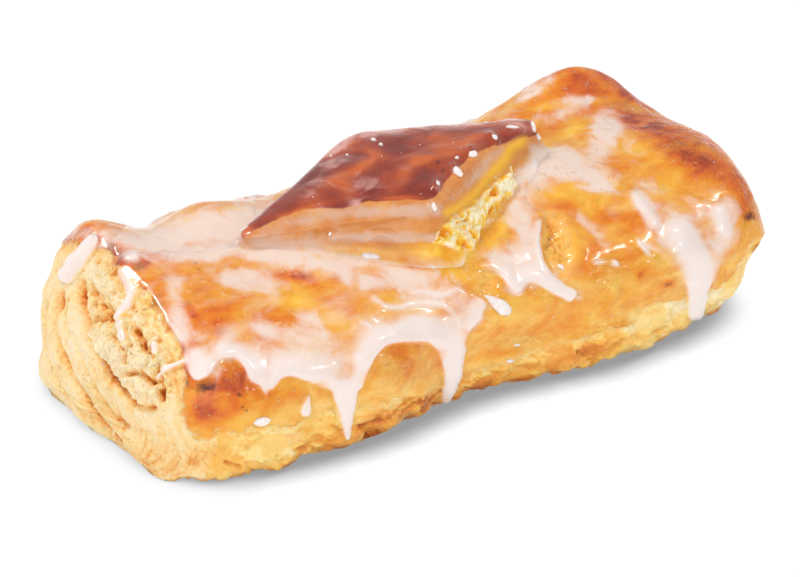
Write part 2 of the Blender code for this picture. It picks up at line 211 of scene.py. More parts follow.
# How thick the icing stands, as lines with a reach in pixels and a height in millimetres.
ICING_RIDGES = (
    (((196, 358), (206, 368), (198, 378)), 9, 0.6),
    (((226, 352), (242, 362), (258, 376), (268, 385), (282, 371), (300, 372), (322, 378), (340, 386)), 10, 0.75),
    (((345, 388), (345, 432)), 12, 1.0),
    (((352, 384), (366, 362), (380, 344), (400, 334), (430, 336), (452, 346)), 11, 0.8),
    (((452, 346), (452, 376), (447, 400)), 11, 0.85),
    (((470, 322), (482, 306)), 8, 0.5),
    (((148, 293), (158, 309), (167, 325), (178, 340)), 3.2, 0.6),
    (((94, 240), (76, 260), (66, 274)), 9, 1.9),
    (((183, 361), (165, 368), (157, 378)), 6, 0.8),
    (((504, 280), (516, 289), (530, 278), (548, 284), (572, 296)), 8, 0.8),
    (((541, 228), (540, 246), (542, 262), (549, 276), (560, 285), (574, 294)), 5, 0.6),
    (((515, 172), (523, 162), (533, 160)), 7, 0.95),
    # These three lines lie on streaks of highlight: their thick white icing is partly icing and partly a painted
    # highlight.
    (((681, 233), (689, 248), (697, 264), (697, 314)), 9, 0.9),
    (((719, 212), (724, 232)), 5, 0.5),
    (((635, 198), (643, 209), (653, 224)), 4, 0.6),
    (((639, 243), (647, 249), (655, 259)), 2.5, 0.4),
    (((591, 264), (605, 262), (615, 264)), 2.5, 0.5),
    (((306, 404), (305, 411)), 6, 0.9),
    (((122, 270), (131, 288), (127, 304), (116, 318)), 5, 0.6),
    (((120, 322), (122, 338)), 4, 0.5),
    (((152, 343), (153, 351)), 5, 0.6),
    (((262, 422), (265, 421)), 6, 0.9),
    (((134, 258), (128, 260)), 4, 0.7),
    (((411, 294), (423, 292), (441, 296), (456, 290), (466, 296)), 2.2, 0.3),
    (((374, 300), (386, 308), (400, 308), (411, 304), (441, 305), (456, 317), (458, 325)), 2.4, 0.36),
    (((362, 323), (370, 327)), 2.5, 0.3),
    (((372, 319), (380, 323)), 2.5, 0.3),
)
ICING_THIN = (
    (346, 371, 13, 12, 0, 0.85), (363, 376, 6, 14, 30, 0.5), (316, 384, 10, 5, 10, 0.4), (438, 352, 8, 8, 0, 0.3),
    (440, 400, 10, 16, 0, 0.4), (134, 276, 24, 7, 45, 0.6), (160, 306, 30, 8, 50, 0.45),
)
ICING_FILM = 0.22

# Soft patches, as u, v, reach along, reach across, tilt in degrees and strength.
MILKY_AND_HIGHLIGHTS = (
    (235, 226, 120, 20, -8, 0.95), (284, 252, 54, 17, 12, 1.0), (205, 254, 36, 8, -8, 0.9),
    (345, 274, 26, 10, 30, 0.6), (241, 278, 36, 10, 4, 0.7), (258, 289, 38, 9, 6, 0.5), (264, 331, 14, 6, 20, 0.75),
    (205, 345, 16, 10, 30, 0.4), (176, 292, 12, 16, -20, 0.7), (178, 326, 9, 18, -20, 0.85),
    (186, 318, 5, 24, -30, 0.4), (205, 366, 18, 12, 0, 0.9), (300, 360, 66, 15, 6, 0.95),
    (300, 336, 44, 12, 10, 0.65), (312, 318, 20, 8, 30, 0.5), (405, 278, 48, 13, -4, 0.85),
    (430, 298, 34, 12, 4, 0.6), (474, 312, 14, 14, 20, 0.75), (425, 328, 44, 12, -6, 0.9),
    (372, 338, 26, 20, 50, 0.4), (345, 398, 11, 24, 0, 0.8), (452, 366, 10, 28, 0, 0.8), (560, 165, 46, 17, 3, 1.0),
    (520, 170, 14, 10, 0, 0.9), (597, 182, 17, 12, 30, 0.9), (607, 127, 17, 17, 20, 0.95),
    (600, 148, 15, 14, 0, 0.8), (580, 100, 22, 5, -5, 0.7), (535, 87, 24, 8, -34, 0.65),
    (560, 113, 30, 7, -20, 0.5), (521, 210, 14, 26, 4, 0.7), (526, 244, 13, 22, 4, 0.75),
    (508, 266, 26, 8, 4, 0.75), (540, 276, 24, 10, 20, 0.85), (568, 294, 14, 6, 15, 0.9),
    (517, 288, 10, 10, 0, 0.8), (498, 262, 26, 14, 8, 0.5), (589, 228, 28, 9, 49, 0.65), (646, 186, 16, 9, 20, 0.5),
    # (645, 208) and (615, 264) whiten the icing where highlights shine, and (685, 250) and (724, 216) partly: painted
    # highlights.
    (645, 208, 15, 7, 54, 0.9), (660, 232, 18, 9, 50, 0.75), (685, 250, 42, 14, 62, 0.95),
    (697, 290, 26, 12, 85, 0.9), (724, 216, 12, 24, 10, 0.8), (718, 250, 14, 20, 0, 0.75),
    (700, 212, 26, 14, 10, 0.4), (646, 250, 12, 4, 50, 0.75), (598, 262, 10, 3, -5, 0.6), (615, 264, 5, 4, 0, 0.8),
    (84, 232, 28, 9, -8, 0.55), (150, 244, 40, 10, 8, 0.7), (125, 285, 9, 16, -30, 0.6), (540, 172, 12, 14, 0, 0.6),
    (452, 330, 14, 16, 0, 0.7), (360, 262, 34, 6, 6, 0.35), (640, 150, 16, 6, 30, 0.2),
)
BAKED = (
    (209, 308, 30, 14, 36, 0.30), (292, 276, 18, 5, 8, 0.35), (343, 302, 48, 13, 25, 0.16),
    (165, 255, 30, 6, -8, 0.42), (141, 268, 13, 5, -34, 0.40), (165, 277, 16, 5, -12, 0.30),
    (149, 300, 7, 24, -38, 0.22), (210, 300, 4, 8, -20, 0.14), (192, 312, 5, 12, -34, 0.30),
    (184, 347, 5, 26, -8, 0.22), (300, 277, 18, 6, 12, 0.22), (222, 340, 12, 8, 30, 0.25),
    (206, 402, 20, 28, -10, 0.50), (232, 380, 20, 20, -20, 0.42), (228, 412, 22, 14, 0, 0.14),
    (300, 394, 40, 8, -6, 0.10), (118, 252, 18, 7, 34, 0.42), (70, 236, 20, 7, -30, 0.28),
    (665, 128, 55, 20, 30, 0.18), (652, 136, 56, 11, 34, 0.18), (720, 165, 22, 12, 40, 0.2),
    (590, 78, 34, 10, 8, 0.22), (624, 92, 20, 6, 34, 0.30), (746, 200, 8, 34, -10, 0.16),
    (545, 100, 26, 12, -30, 0.16), (630, 118, 30, 10, 30, 0.12), (514, 352, 22, 4, -8, 0.28),
    (640, 276, 5, 7, 20, 0.35), (668, 284, 8, 5, -30, 0.42), (623, 326, 3, 7, 20, 0.40),
    (555, 334, 7, 3, -10, 0.28), (556, 227, 3, 9, -40, 0.60), (592, 80, 26, 9, 8, 0.12),
    (596, 205, 18, 8, 30, 0.18), (440, 368, 5, 12, -6, 0.24), (400, 352, 30, 6, 0, 0.08),
    (585, 322, 60, 12, -12, 0.06), (250, 420, 40, 8, -6, -0.12), (300, 408, 40, 8, -10, -0.10),
    (700, 268, 40, 10, -24, -0.10),
)
YELLOWED = (
    (566, 250, 12, 20, -14, 0.8), (445, 254, 34, 12, 10, 1.0), (470, 236, 26, 18, -30, 0.9),
    (500, 196, 14, 26, 34, 0.8), (452, 272, 18, 8, 20, 0.9), (556, 248, 10, 26, -10, 0.8),
    (576, 240, 14, 16, 30, 0.5), (572, 130, 24, 6, -25, 0.9), (600, 203, 22, 10, 20, 0.4),
    (294, 302, 24, 9, 8, 0.9), (336, 322, 18, 10, 30, 0.75), (276, 236, 20, 5, -12, 0.5), (362, 253, 34, 7, 4, 0.6),
    (490, 284, 12, 12, 0, 0.3), (640, 150, 30, 10, 25, 0.5), (541, 107, 14, 4, -10, 0.8), (555, 194, 24, 5, 6, 0.8),
    (612, 184, 12, 7, 30, 0.7), (478, 282, 8, 12, 0, 0.5), (394, 306, 44, 10, 6, 0.6), (368, 322, 26, 12, -20, 0.5),
    (430, 250, 20, 10, 0, 0.7), (606, 296, 10, 12, 0, 0.4), (500, 232, 8, 26, 12, 0.7), (280, 384, 24, 8, 10, 0.3),
)
# Painted shade on the lower front foot: patches that make it less pale; a negative strength makes it paler.
FOOT_PAINTED_SHADE = (
    (700, 296, 44, 24, -38, -0.6), (620, 334, 40, 9, -22, -0.35), (340, 438, 24, 8, -20, 0.9),
    (400, 416, 60, 14, -24, 1.0), (480, 388, 60, 14, -20, 1.0), (570, 360, 60, 10, -20, 0.8),
)
CHARRED = (
    (206, 387, 12, 6, -8, 0.9), (240, 395, 3.5, 2.5, 0, 0.9), (187, 383, 3, 4, 0, 0.5),
    (250, 389, 1.6, 1.6, 0, 0.9), (243, 407, 1.6, 1.6, 0, 0.9), (247, 411, 1.4, 1.4, 0, 0.9),
    (749, 217, 6.5, 5, -30, 0.85), (196, 264, 3, 2.5, 0, 0.4), (198, 272, 4, 5, 0, 0.25), (640, 276, 2, 3, 0, 0.4),
    (668, 284, 4, 2.5, -30, 0.45), (627, 90, 10, 3, 34, 0.35),
)
ROUGH_CRUST = (
    (393, 368, 30, 16, 0, 1.0), (670, 132, 60, 18, 32, 1.0), (690, 160, 40, 14, 30, 0.8),
    (336, 352, 24, 12, -30, 0.9), (342, 366, 12, 22, 20, 1.0), (520, 340, 24, 10, -8, 0.7),
    (610, 285, 26, 22, 0, 0.4), (560, 240, 10, 20, -8, 0.5), (230, 378, 14, 14, 0, 0.8), (745, 205, 14, 34, 0, 1.0),
)

# Where the glaze is clear, and lines that stand up on the crust.
CLEAR = (
    (207, 306, 30, 16, 34, 0.95), (298, 303, 30, 9, 8, 0.9), (345, 304, 44, 12, 20, 0.6), (440, 262, 44, 9, 6, 0.9),
    (336, 322, 16, 9, 30, 0.8), (292, 276, 18, 5, 8, 0.7), (580, 205, 26, 8, 20, 0.5), (585, 245, 16, 18, 0, 0.6),
    (665, 126, 62, 17, 33, 0.9), (728, 172, 24, 14, 44, 0.85),
)
CRUST_LINES = (
    (((598, 287), (607, 284), (614, 290), (610, 303), (600, 311)), 2.8, 0.7),
    (((566, 222), (575, 238), (578, 254), (572, 268)), 5, 0.6), (((505, 322), (520, 331), (540, 334)), 4, 0.3),
    (((586, 300), (591, 318)), 4, 0.3), (((636, 262), (641, 280)), 3.5, 0.2),
    (((484, 300), (478, 312), (486, 322)), 4, 0.5), (((655, 266), (668, 276), (672, 286)), 4, 0.25),
)

# How far the icing presses into the crust and its underside lies in it, how often its relief is evened out, and
# how thick it is where it is quite white.
ICING_BED = 0.04
ICING_UNDERSIDE = 0.9
ICING_SMOOTHING = 14
ICING_WHITE = 0.9

# Slits between the plates of the foot, and a torn patch in the crust beside the lozenge with the groove along it.
FOOT_SLITS = (
    (((226, 463), (240, 467)), 1.8, 0.9), (((360, 428), (382, 421)), 1.8, 1.1), (((282, 461), (289, 457)), 1.8, 0.8),
    (((300, 451), (312, 446)), 1.6, 0.8), (((404, 412), (418, 405)), 1.6, 0.7), (((655, 334), (668, 327)), 1.6, 0.8),
    (((196, 452), (206, 444)), 2.0, 0.7), (((330, 425), (344, 430)), 1.6, 0.6), (((700, 300), (712, 292)), 1.8, 0.7),
)
TORN_PATCHES = ((558, 244, 11, 30, -14, 1.0), (486, 284, 9, 9, 0, 0.6))
TORN_GROOVE = ((((548, 220), (554, 230), (548, 246), (551, 262), (560, 274)), 3.5, 1.0),)

# The fold across the far end's hidden face, in millimetres across and up.
FAR_FOLD = ((24, 22), (18, 11), (6, 7), (-10, 6), (-22, 12))

# How the sides that the photograph doesn't show are finished, in millimetres: where the glaze ends above the foot
# and on the ends, where the icing ends behind, and its drips there as place, width and length.
HIDDEN_FOOT = 10.5
HIDDEN_END = 29.5
BACK_HEM = 27.5
BACK_DRIPS = ((-58, 4, 7), (-44, 3, 3), (-22, 4, 11), (-6, 3, 4), (14, 5, 8), (33, 3, 13), (50, 4, 6), (62, 3, 3))

# Where the grids are closer: places along a line from 0 to 1, and how close there.
DOUGH_ALONG = ((0, 0.25, 0.29, 0.72, 0.78, 1), (2.6, 2.6, 1, 1, 1.2, 1.2))
DOUGH_ROUND = ((0, 0.12, 0.18, 0.62, 0.68, 0.82, 1), (0.6, 0.6, 1, 1, 0.15, 0.15, 0.6))
ICING_ALONG = ((0, 0.12, 0.24, 0.78, 0.9, 1), (0.1, 0.8, 1, 1, 0.6, 0.05))
ICING_ROUND = ((0, 0.05, 0.14, 0.2, 0.6, 0.64, 0.7, 1), (0.3, 0.4, 0.6, 1, 1, 0.3, 0.01, 0.01))

# The lozenge's dark top, torn wall and edges, in the photograph's frame.
LOZENGE_SINK = 0.5
LOZENGE_FLARE = 3.0
DARK_TOP = (
    (236, 240), (250, 233), (264, 226), (278, 219), (292, 213), (306, 210), (322, 208), (343, 209), (358, 204),
    (374, 201), (391, 200), (410, 200), (428, 200), (438, 194), (445, 183), (453, 172), (464, 162), (474, 154),
    (488, 148), (503, 144), (517, 140), (527, 137), (545, 132), (545, 105), (450, 100), (330, 120), (230, 200),
)
TORN_WALL = (
    (428, 242), (436, 231), (441, 223), (449, 216), (458, 210), (468, 203), (477, 195), (486, 186), (495, 178),
    (503, 171), (511, 169), (517, 176), (519, 186), (512, 198), (500, 207), (490, 218), (484, 232), (478, 246),
    (470, 254), (455, 252), (442, 248),
)
AMBER_CRACK = (
    (449, 213), (462, 206), (472, 198), (481, 189), (489, 178), (498, 168), (506, 158), (511, 149), (522, 142),
)
WALL_GROOVE = ((315, 231), (322, 235), (331, 225), (345, 226), (360, 224), (375, 225), (392, 221), (404, 219))
WALL_LEDGE = ((331, 238), (350, 236), (366, 240), (380, 233), (400, 240), (424, 239), (438, 236))
DARK_BEADS = (
    (((437, 182), (434, 187)), 4.0, 0.8),
    (((453, 168), (461, 178)), 4.5, 0.9),
    (((446, 200), (441, 206)), 3.5, 0.6),
    (((470, 150), (474, 156)), 4.0, 0.8),
    (((490, 136), (496, 142)), 4.5, 0.7),
    (((508, 126), (528, 128)), 6.0, 0.8),
    (((433, 204), (437, 212)), 4.0, 0.8),
    (((244, 220), (239, 230), (236, 240)), 3.0, 0.6),
)
# Milky glaze on the lozenge, with painted sheen along its top back edge and painted highlights on its beak and tip.
LOZENGE_FILM_AND_SHEEN = (
    (357, 208, 9, 10, 0, 0.7), (366, 186, 28, 12, 10, 0.42), (310, 194, 30, 7, -30, 0.4), (380, 131, 60, 6, -8, 0.8),
    (460, 121, 60, 6, -5, 0.7), (338, 146, 26, 8, -46, 0.75), (514, 126, 18, 7, 10, 0.8), (536, 152, 10, 10, 0, 0.9),
    (330, 168, 30, 5, -32, 0.4), (400, 165, 20, 6, 20, 0.2), (300, 224, 40, 9, -8, 0.55), (370, 213, 60, 7, 0, 0.8),
    (415, 210, 30, 8, 0, 0.75), (475, 178, 30, 8, -42, 0.6), (500, 154, 22, 7, -35, 0.6), (440, 190, 12, 8, 0, 0.4),
    (440, 238, 20, 4, 0, 0.5), (380, 237, 70, 6, 0, 0.9), (280, 244, 52, 10, 2, 0.95), (245, 226, 8, 14, 30, 0.3),
)
LOZENGE_AMBER = (
    (345, 186, 16, 10, 40, 0.7), (362, 166, 20, 8, -30, 0.6), (420, 160, 16, 8, 20, 0.6),
    (440, 142, 26, 6, -10, 0.5), (455, 143, 30, 8, -8, 0.7), (334, 178, 14, 8, -30, 0.5),
    (378, 152, 18, 5, 10, 0.4), (400, 198, 26, 3, 0, 0.7), (296, 212, 26, 3, -16, 0.6), (246, 232, 8, 5, -40, 0.9),
    (480, 122, 30, 5, -4, 0.35), (404, 176, 10, 8, 60, 0.3),
)
LOZENGE_SPECKS = (
    (438, 162, 2.2, 1.8, 0, 0.8), (443, 170, 2.0, 1.6, 0, 0.8), (379, 136, 2.2, 1.2, 0, 0.6),
    (424, 167, 2, 2, 0, 0.4),
)

# Loose flakes: a loop in the frame, a share of them, least and most reach in millimetres, and how much they lean.
FLAKE_PLACES = (
    (CORE, 0.14, 0.5, 1.5, 0.9),
    (((60, 300), (84, 300), (96, 370), (130, 410), (120, 440), (90, 420), (60, 360)), 0.05, 0.4, 1.0, 0.4),
    (TORN_WALL, 0.35, 0.3, 1.0, 0.9),
    (((548, 212), (562, 220), (566, 268), (552, 272), (545, 250)), 0.04, 0.2, 0.6, 0.7),
)
# Set icing chips and white drops that paint highlights: u, v, length, width, tilt in the frame, height in mm.
CHIPS_AND_HIGHLIGHT_DROPS = (
    (499, 305, 36, 14, 28, 0.9), (561, 267, 9, 5, 30, 0.4), (517, 345, 8, 3, 0, 0.25),
    # Next two rows: white drops where light glints on the lozenge's beads, edge, beak and ledge: painted highlights.
    (473, 154, 10, 8, -30, 0.35), (458, 172, 8, 16, -30, 0.4), (495, 137, 6, 9, 20, 0.35), (512, 127, 15, 4, 5, 0.3),
    (438, 183, 5, 6, 20, 0.3), (434, 207, 5, 9, -20, 0.35), (244, 229, 2.5, 10, 20, 0.2), (330, 234, 3, 6, 0, 0.3),
    # (533, 127) and (538, 137) at the lozenge's tip are partly flakes and partly painted highlight.
    (374, 140, 7, 4, 25, 0.45), (381, 145, 5, 3.5, 30, 0.45), (533, 127, 6, 12, -20, 0.6), (538, 137, 5, 8, -30, 0.5),
    (432, 408, 5, 7, 60, 0.3), (262, 422, 17, 9, -10, 0.3),
    (510, 361, 8, 4, -10, 0.25), (371, 256, 20, 6, 4, 0.25), (457, 158, 5, 4, 0, 0.4),
    (347, 155, 3, 3, 0, 0.3), (331, 156, 3, 3, 0, 0.3), (486, 123, 4, 3, 0, 0.3), (456, 125, 5, 3, 0, 0.3),
)

# Lights: name, power in watts, and size and place in millimetres.
LIGHTS = (
    ("key", 3.9, 200, (-300, 420, 950)),
    ("front fill", 2.6, 800, (-500, -900, 450)),
    ("right window", 1.1, 85, (560, -420, 800)),
    ("left window", 1.0, 420, (-800, -300, 400)),
    ("low window", 0.25, 50, (450, -750, 380)),
)
LIT_PLACE = (0.0, 0.0, 15.0)
BACKDROP = 1.05

# The pale table glows, with a shadow painted on it: how far the shadow reaches, how far the table lies under the part,
# and where it fades out at the left and right, from and to in metres along it, and how much it has faded at each.
SHADOW_REACH = 10.0
FLOOR_DROP = 0.2
SHADOW_FADES = ((-0.088, -0.035, 0.75, 0.0), (0.04, 0.078, 0.0, 0.75))
SHADOW_GREYS = ((0.40, 0.33), (0.56, 0.45), (0.70, 0.70), (0.82, 0.93), (0.94, 1.06))

# Colours as read on a screen, each after its place in a blend from 0 to 1.
BAKED_STOPS = (
    (0.00, (253, 228, 170)), (0.22, (248, 198, 104)), (0.42, (240, 168, 62)), (0.60, (234, 138, 22)),
    (0.76, (224, 108, 20)), (0.88, (196, 80, 26)), (1.00, (150, 56, 30)),
)
BEIGE_STOPS = (
    (0.00, (196, 100, 26)), (0.20, (232, 150, 66)), (0.42, (251, 198, 124)), (0.66, (255, 220, 160)),
    (1.00, (255, 230, 190)),
)
BUTTER_STOPS = (
    (0.00, (186, 92, 18)), (0.20, (232, 146, 46)), (0.42, (250, 186, 76)), (0.66, (254, 214, 124)),
    (1.00, (255, 238, 196)),
)
YELLOW_STOPS = ((0.3, (240, 164, 24)), (0.55, (252, 196, 60)), (0.8, (254, 226, 124)))
DARK_STOPS = ((0.28, (124, 34, 20)), (0.42, (146, 48, 24)), (0.55, (170, 66, 26)), (0.72, (206, 96, 34)))
WALL_STOPS = ((0.3, (208, 122, 50)), (0.6, (224, 148, 76)), (0.8, (235, 172, 104)))
TORN_STOPS = ((0.10, (238, 146, 0)), (0.30, (252, 188, 24)), (0.46, (255, 216, 100)), (0.66, (255, 241, 204)))
ICING_STOPS = ((0.2, (246, 218, 200)), (0.5, (246, 226, 216)), (0.9, (244, 229, 223)))
# The white of set icing, also used for the drops that paint highlights.
ICING_AND_HIGHLIGHT_STOPS = ((0.3, (244, 222, 214)), (0.7, (253, 246, 244)))
CHAR_COLOUR, FILM_COLOUR = (84, 34, 34), (242, 220, 208)
WALL_ICING, CRUST_ICING, DARK_ICING = (218, 178, 154), (248, 228, 216), (238, 182, 172)
CRACK_COLOUR, STREAK_COLOUR, SPECK_COLOUR = (255, 192, 44), (206, 124, 44), (60, 30, 34)

# The numbers on the dough's points that its look is made from.
DOUGH_NUMBERS = (
    "Baked", "Buttery", "Charred", "Flaky", "Layer", "Low", "Milky", "Porous", "Raised", "Torn", "Yellowed",
)
# The fine lines of the ends run along the layers: their noise is read at this share of the distance there.
LAYER_DRAWN_OUT = 0.16

# Places moved from where the solid has them: middle, reach and move, all in x, y and z.
NUDGES = (
    ((-4, -31, 3), (16, 9, 10), (0, 3.4, 0)),
    ((27, -31, 3), (9, 8, 9), (0, -1.6, 0)),
    ((-74, 3, 4), (8, 5, 8), (-1.3, 0, 0)),
    ((-74, 17, 6), (8, 8, 8), (-1.8, 0, 0)),
    ((-74, -28, 3), (9, 8, 9), (1.3, 1.3, 0)),
    ((-66, 20, 33), (11, 14, 8), (0, 0, 1.4)),
    ((-40, 22, 34), (10, 10, 8), (0, 0, 0.9)),
    ((50, 24, 38), (17, 12, 10), (0, 0, 2.0)),
    ((62, 2, 36), (9, 12, 8), (0, 0, -1.4)),
    ((72, 4, 30), (8, 18, 7), (0.6, 0, -0.9)),
    ((74, -16, 14), (9, 14, 9), (-1.6, 0.4, 0)),
    ((70, -16, 1), (8, 10, 6), (2.0, 0, 0)),
    ((66, -30, 3), (8, 8, 8), (0, 0.8, 0)),
    ((66, -20, 1), (7, 8, 6), (1.6, -0.6, 0)),
    ((66, 5, 30), (8, 9, 7), (0, 0, -1.1)),
    ((76, -13, 7), (8, 9, 6), (-1.4, 0, 0)),
    ((58, -26, 3), (8, 8, 8), (0, 1.7, 0)),
    ((74, -6, 19), (7, 8, 7), (0.9, 0, 1.0)),
    ((71, -20, 9), (6, 8, 4), (-1.2, 0.6, 0)),
)

# How far apart in the noise two seeds lie.
NOISE_STEP = 17.17

# The rings of a small lump, from its top to its base: reach, height and paleness, each as a share.
LUMP_RINGS = ((0.55, 0.9, 0.62), (0.92, 0.45, 0.85), (1.0, 0.0, 0.95), (0.8, -0.5, 0.5))


# Numbers


def smooth_step(value, low, high):
    t = np.clip((value - low) / (high - low), 0.0, 1.0)
    return t * t * (3 - 2 * t)


def signed_power(value, power):
    return np.sign(value) * np.abs(value) ** power


def unit(vectors):
    return vectors / np.maximum(np.linalg.norm(vectors, axis=-1, keepdims=True), 1e-9)


def length_along(points):
    steps = np.linalg.norm(np.diff(points, axis=0), axis=1)
    return np.concatenate([[0], np.cumsum(steps)])


def mixed_bits(cells, seed):
    """A whole number for each cell that looks random."""
    a, b, c = (cells[..., k].astype(np.uint64) for k in range(3))
    bits = a * np.uint64(73856093) ^ b * np.uint64(19349663) ^ c * np.uint64(83492791)
    bits = bits + np.uint64(seed * 668265263 + 374761393)
    bits = (bits ^ (bits >> np.uint64(15))) * np.uint64(2246822519)
    bits = (bits ^ (bits >> np.uint64(13))) * np.uint64(3266489917)
    return (bits ^ (bits >> np.uint64(16))) & np.uint64(0xFFFFFFFF)


def thirds(bits):
    """Three shares from 0 to 1 for each whole number."""
    return np.stack([((bits >> np.uint64(shift)) & np.uint64(1023)) / 1023.0 for shift in (0, 10, 20)], axis=-1)


def grain(points, size, seed=0):
    """Smooth noise from about -1 to 1, whose lumps have the given size."""
    places = points / np.asarray(size, dtype=float) + 1000.0 + seed * NOISE_STEP
    cell = np.floor(places)
    part = places - cell
    fade = part * part * part * (part * (part * 6 - 15) + 10)
    total = 0
    for corner in itertools.product((0, 1), repeat=3):
        corner = np.array(corner)
        pull = thirds(mixed_bits(cell + corner, seed)) * 2 - 1
        share = np.prod(np.where(corner == 1, fade, 1 - fade), axis=-1)
        total = total + share * np.sum(pull * (part - corner), axis=-1)
    return np.clip(total * 1.5, -1, 1)


def layered(points, size, octaves=3, seed=0):
    """Noise with finer and finer noise on it."""
    total, weight = 0, 0
    for octave in range(octaves):
        total = total + grain(points, np.asarray(size, dtype=float) / 2**octave, seed + octave) / 2**octave
        weight += 1 / 2**octave
    return total / weight


def ridged(points, size, seed=0):
    """Noise whose crests are sharp, from about -1 to 1."""
    return 1 - 2.6 * np.abs(grain(points, size, seed))


def shards(points, size, seed=0):
    """For points among scattered cells: distance to the nearest centre, distance to the border, and two shares
    that are the same all over a cell."""
    places = points / np.asarray(size, dtype=float) + 1000.0 + seed * NOISE_STEP
    cell = np.floor(places)
    nearest = np.full(places.shape[:-1], 9.0)
    second = nearest.copy()
    label = np.zeros(places.shape[:-1] + (3,))
    for corner in itertools.product((-1, 0, 1), repeat=3):
        there = cell + np.array(corner)
        bits = mixed_bits(there, seed)
        centre = there + thirds(bits)
        away = np.linalg.norm(places - centre, axis=-1)
        closer = away < nearest
        second = np.where(closer, nearest, np.minimum(second, away))
        nearest = np.where(closer, away, nearest)
        label = np.where(closer[..., None], thirds(mixed_bits(there, seed + 7)), label)
    return nearest, second - nearest, label


# The photograph's frame

VIEW_BACK = np.array(
    (math.sin(VIEW_TURN) * math.cos(VIEW_RISE), -math.cos(VIEW_TURN) * math.cos(VIEW_RISE), math.sin(VIEW_RISE))
)
VIEW_RIGHT = unit(np.cross((0, 0, 1), VIEW_BACK))
VIEW_UP = np.cross(VIEW_BACK, VIEW_RIGHT)
VIEW_FROM = np.array(VIEW_TARGET) + VIEW_BACK * VIEW_DISTANCE
FOCAL = LENS / SENSOR * FRAME_WIDTH


def to_frame(points):
    """Where points fall in the photograph's frame, in pixels."""
    away = points - VIEW_FROM
    depth = -(away @ VIEW_BACK)
    return FRAME_WIDTH / 2 + FOCAL * (away @ VIEW_RIGHT) / depth, FRAME_HEIGHT / 2 - FOCAL * (away @ VIEW_UP) / depth


def way_through(u, v):
    """The direction from the camera through a place in the frame."""
    return unit((u - FRAME_WIDTH / 2) / FOCAL * VIEW_RIGHT - (v - FRAME_HEIGHT / 2) / FOCAL * VIEW_UP - VIEW_BACK)


def hump(value, reach):
    """1 where the value is 0, fading away past a reach."""
    return np.exp(-((value / reach) ** 2))


def curve_through(points, closed=False):
    """A smooth curve that passes through the points."""
    line = np.array(points, dtype=float)
    if closed:
        padded = np.concatenate([line[-1:], line, line[:2]])
    else:
        padded = np.concatenate([[2 * line[0] - line[1]], line, [2 * line[-1] - line[-2]]])
    curve = []
    for before, start, stop, after in zip(padded[:-3], padded[1:-2], padded[2:-1], padded[3:]):
        for t in np.arange(CURVE_STRETCHES) / CURVE_STRETCHES:
            square = (2 * before - 5 * start + 4 * stop - after) * t**2
            cube = (3 * start - before - 3 * stop + after) * t**3
            curve.append(0.5 * (2 * start + (stop - before) * t + square + cube))
    return np.array([*curve, curve[0] if closed else line[-1]])


def to_line(u, v, line):
    """Distance to a line of straight stretches."""
    nearest = np.full(u.shape, np.inf)
    for (u0, v0), (u1, v1) in zip(line[:-1], line[1:]):
        run_u, run_v = u1 - u0, v1 - v0
        t = np.clip(((u - u0) * run_u + (v - v0) * run_v) / (run_u**2 + run_v**2 + 1e-9), 0, 1)
        nearest = np.minimum(nearest, (u - u0 - t * run_u) ** 2 + (v - v0 - t * run_v) ** 2)
    return np.sqrt(nearest)


def inside_by(u, v, loop):
    """Distance to a closed line, positive inside it."""
    inside = np.zeros(u.shape, dtype=bool)
    for (u0, v0), (u1, v1) in zip(loop[:-1], loop[1:]):
        if v0 != v1:
            inside ^= ((v0 > v) != (v1 > v)) & (u < (u1 - u0) * (v - v0) / (v1 - v0) + u0)
    return np.where(inside, 1, -1) * to_line(u, v, loop)


class Shown:
    """Points with their normals, where they fall in the frame and how far they face the camera."""

    def __init__(self, grid, normals, softness):
        self.grid, self.normals = grid, normals
        self.x, self.y, self.z = (grid[..., k] for k in range(3))
        self.u, self.v = to_frame(grid)
        self.facing = normals @ VIEW_BACK
        self.seen = smooth_step(self.facing, 0.0, softness)


def inside_loop(s, loop):
    """Distance to the smooth closed curve through a loop of points, positive inside it."""
    return inside_by(s.u, s.v, curve_through(loop, closed=True))


def inside_stroke(s, start, stop, first, last):
    """Distance into a tapering stroke, positive inside it."""
    (run_u, run_v), u, v = np.subtract(stop, start), s.u - start[0], s.v - start[1]
    t = np.clip((u * run_u + v * run_v) / (run_u**2 + run_v**2), 0, 1)
    return first + (last - first) * t - np.hypot(u - t * run_u, v - t * run_v)


def merged(a, b, reach):
    """The larger of two distances, with the corner between them rounded."""
    near = np.clip(0.5 + 0.5 * (a - b) / reach, 0, 1)
    return b + (a - b) * near + reach * near * (1 - near)


def patch(s, centre_u, centre_v, along, across, tilt):
    """A soft oval, 1 in its middle."""
    turn = math.radians(tilt)
    du, dv = s.u - centre_u, s.v - centre_v
    a = (du * math.cos(turn) + dv * math.sin(turn)) / along
    b = (dv * math.cos(turn) - du * math.sin(turn)) / across
    return np.exp(-((a * a + b * b) ** 1.15))


def patches(s, table):
    """1 less the share that every soft patch leaves."""
    left = 1.0
    for *oval, strength in table:
        left = left * (1 - strength * patch(s, *oval))
    return 1 - left


def sum_of_patches(s, table):
    return sum(strength * patch(s, *oval) for *oval, strength in table)


def by_line(s, line, reach):
    """1 on the smooth curve through the points, fading away past a reach."""
    return hump(to_line(s.u, s.v, curve_through(line)), reach)


def ridges(s, table, gather=np.add, spread=1.0):
    """Lines with a reach and a height, added up or gathered by another rule."""
    total = np.zeros(s.u.shape)
    for line, reach, height in table:
        total = gather(total, height * by_line(s, line, reach * spread))
    return total


# The body


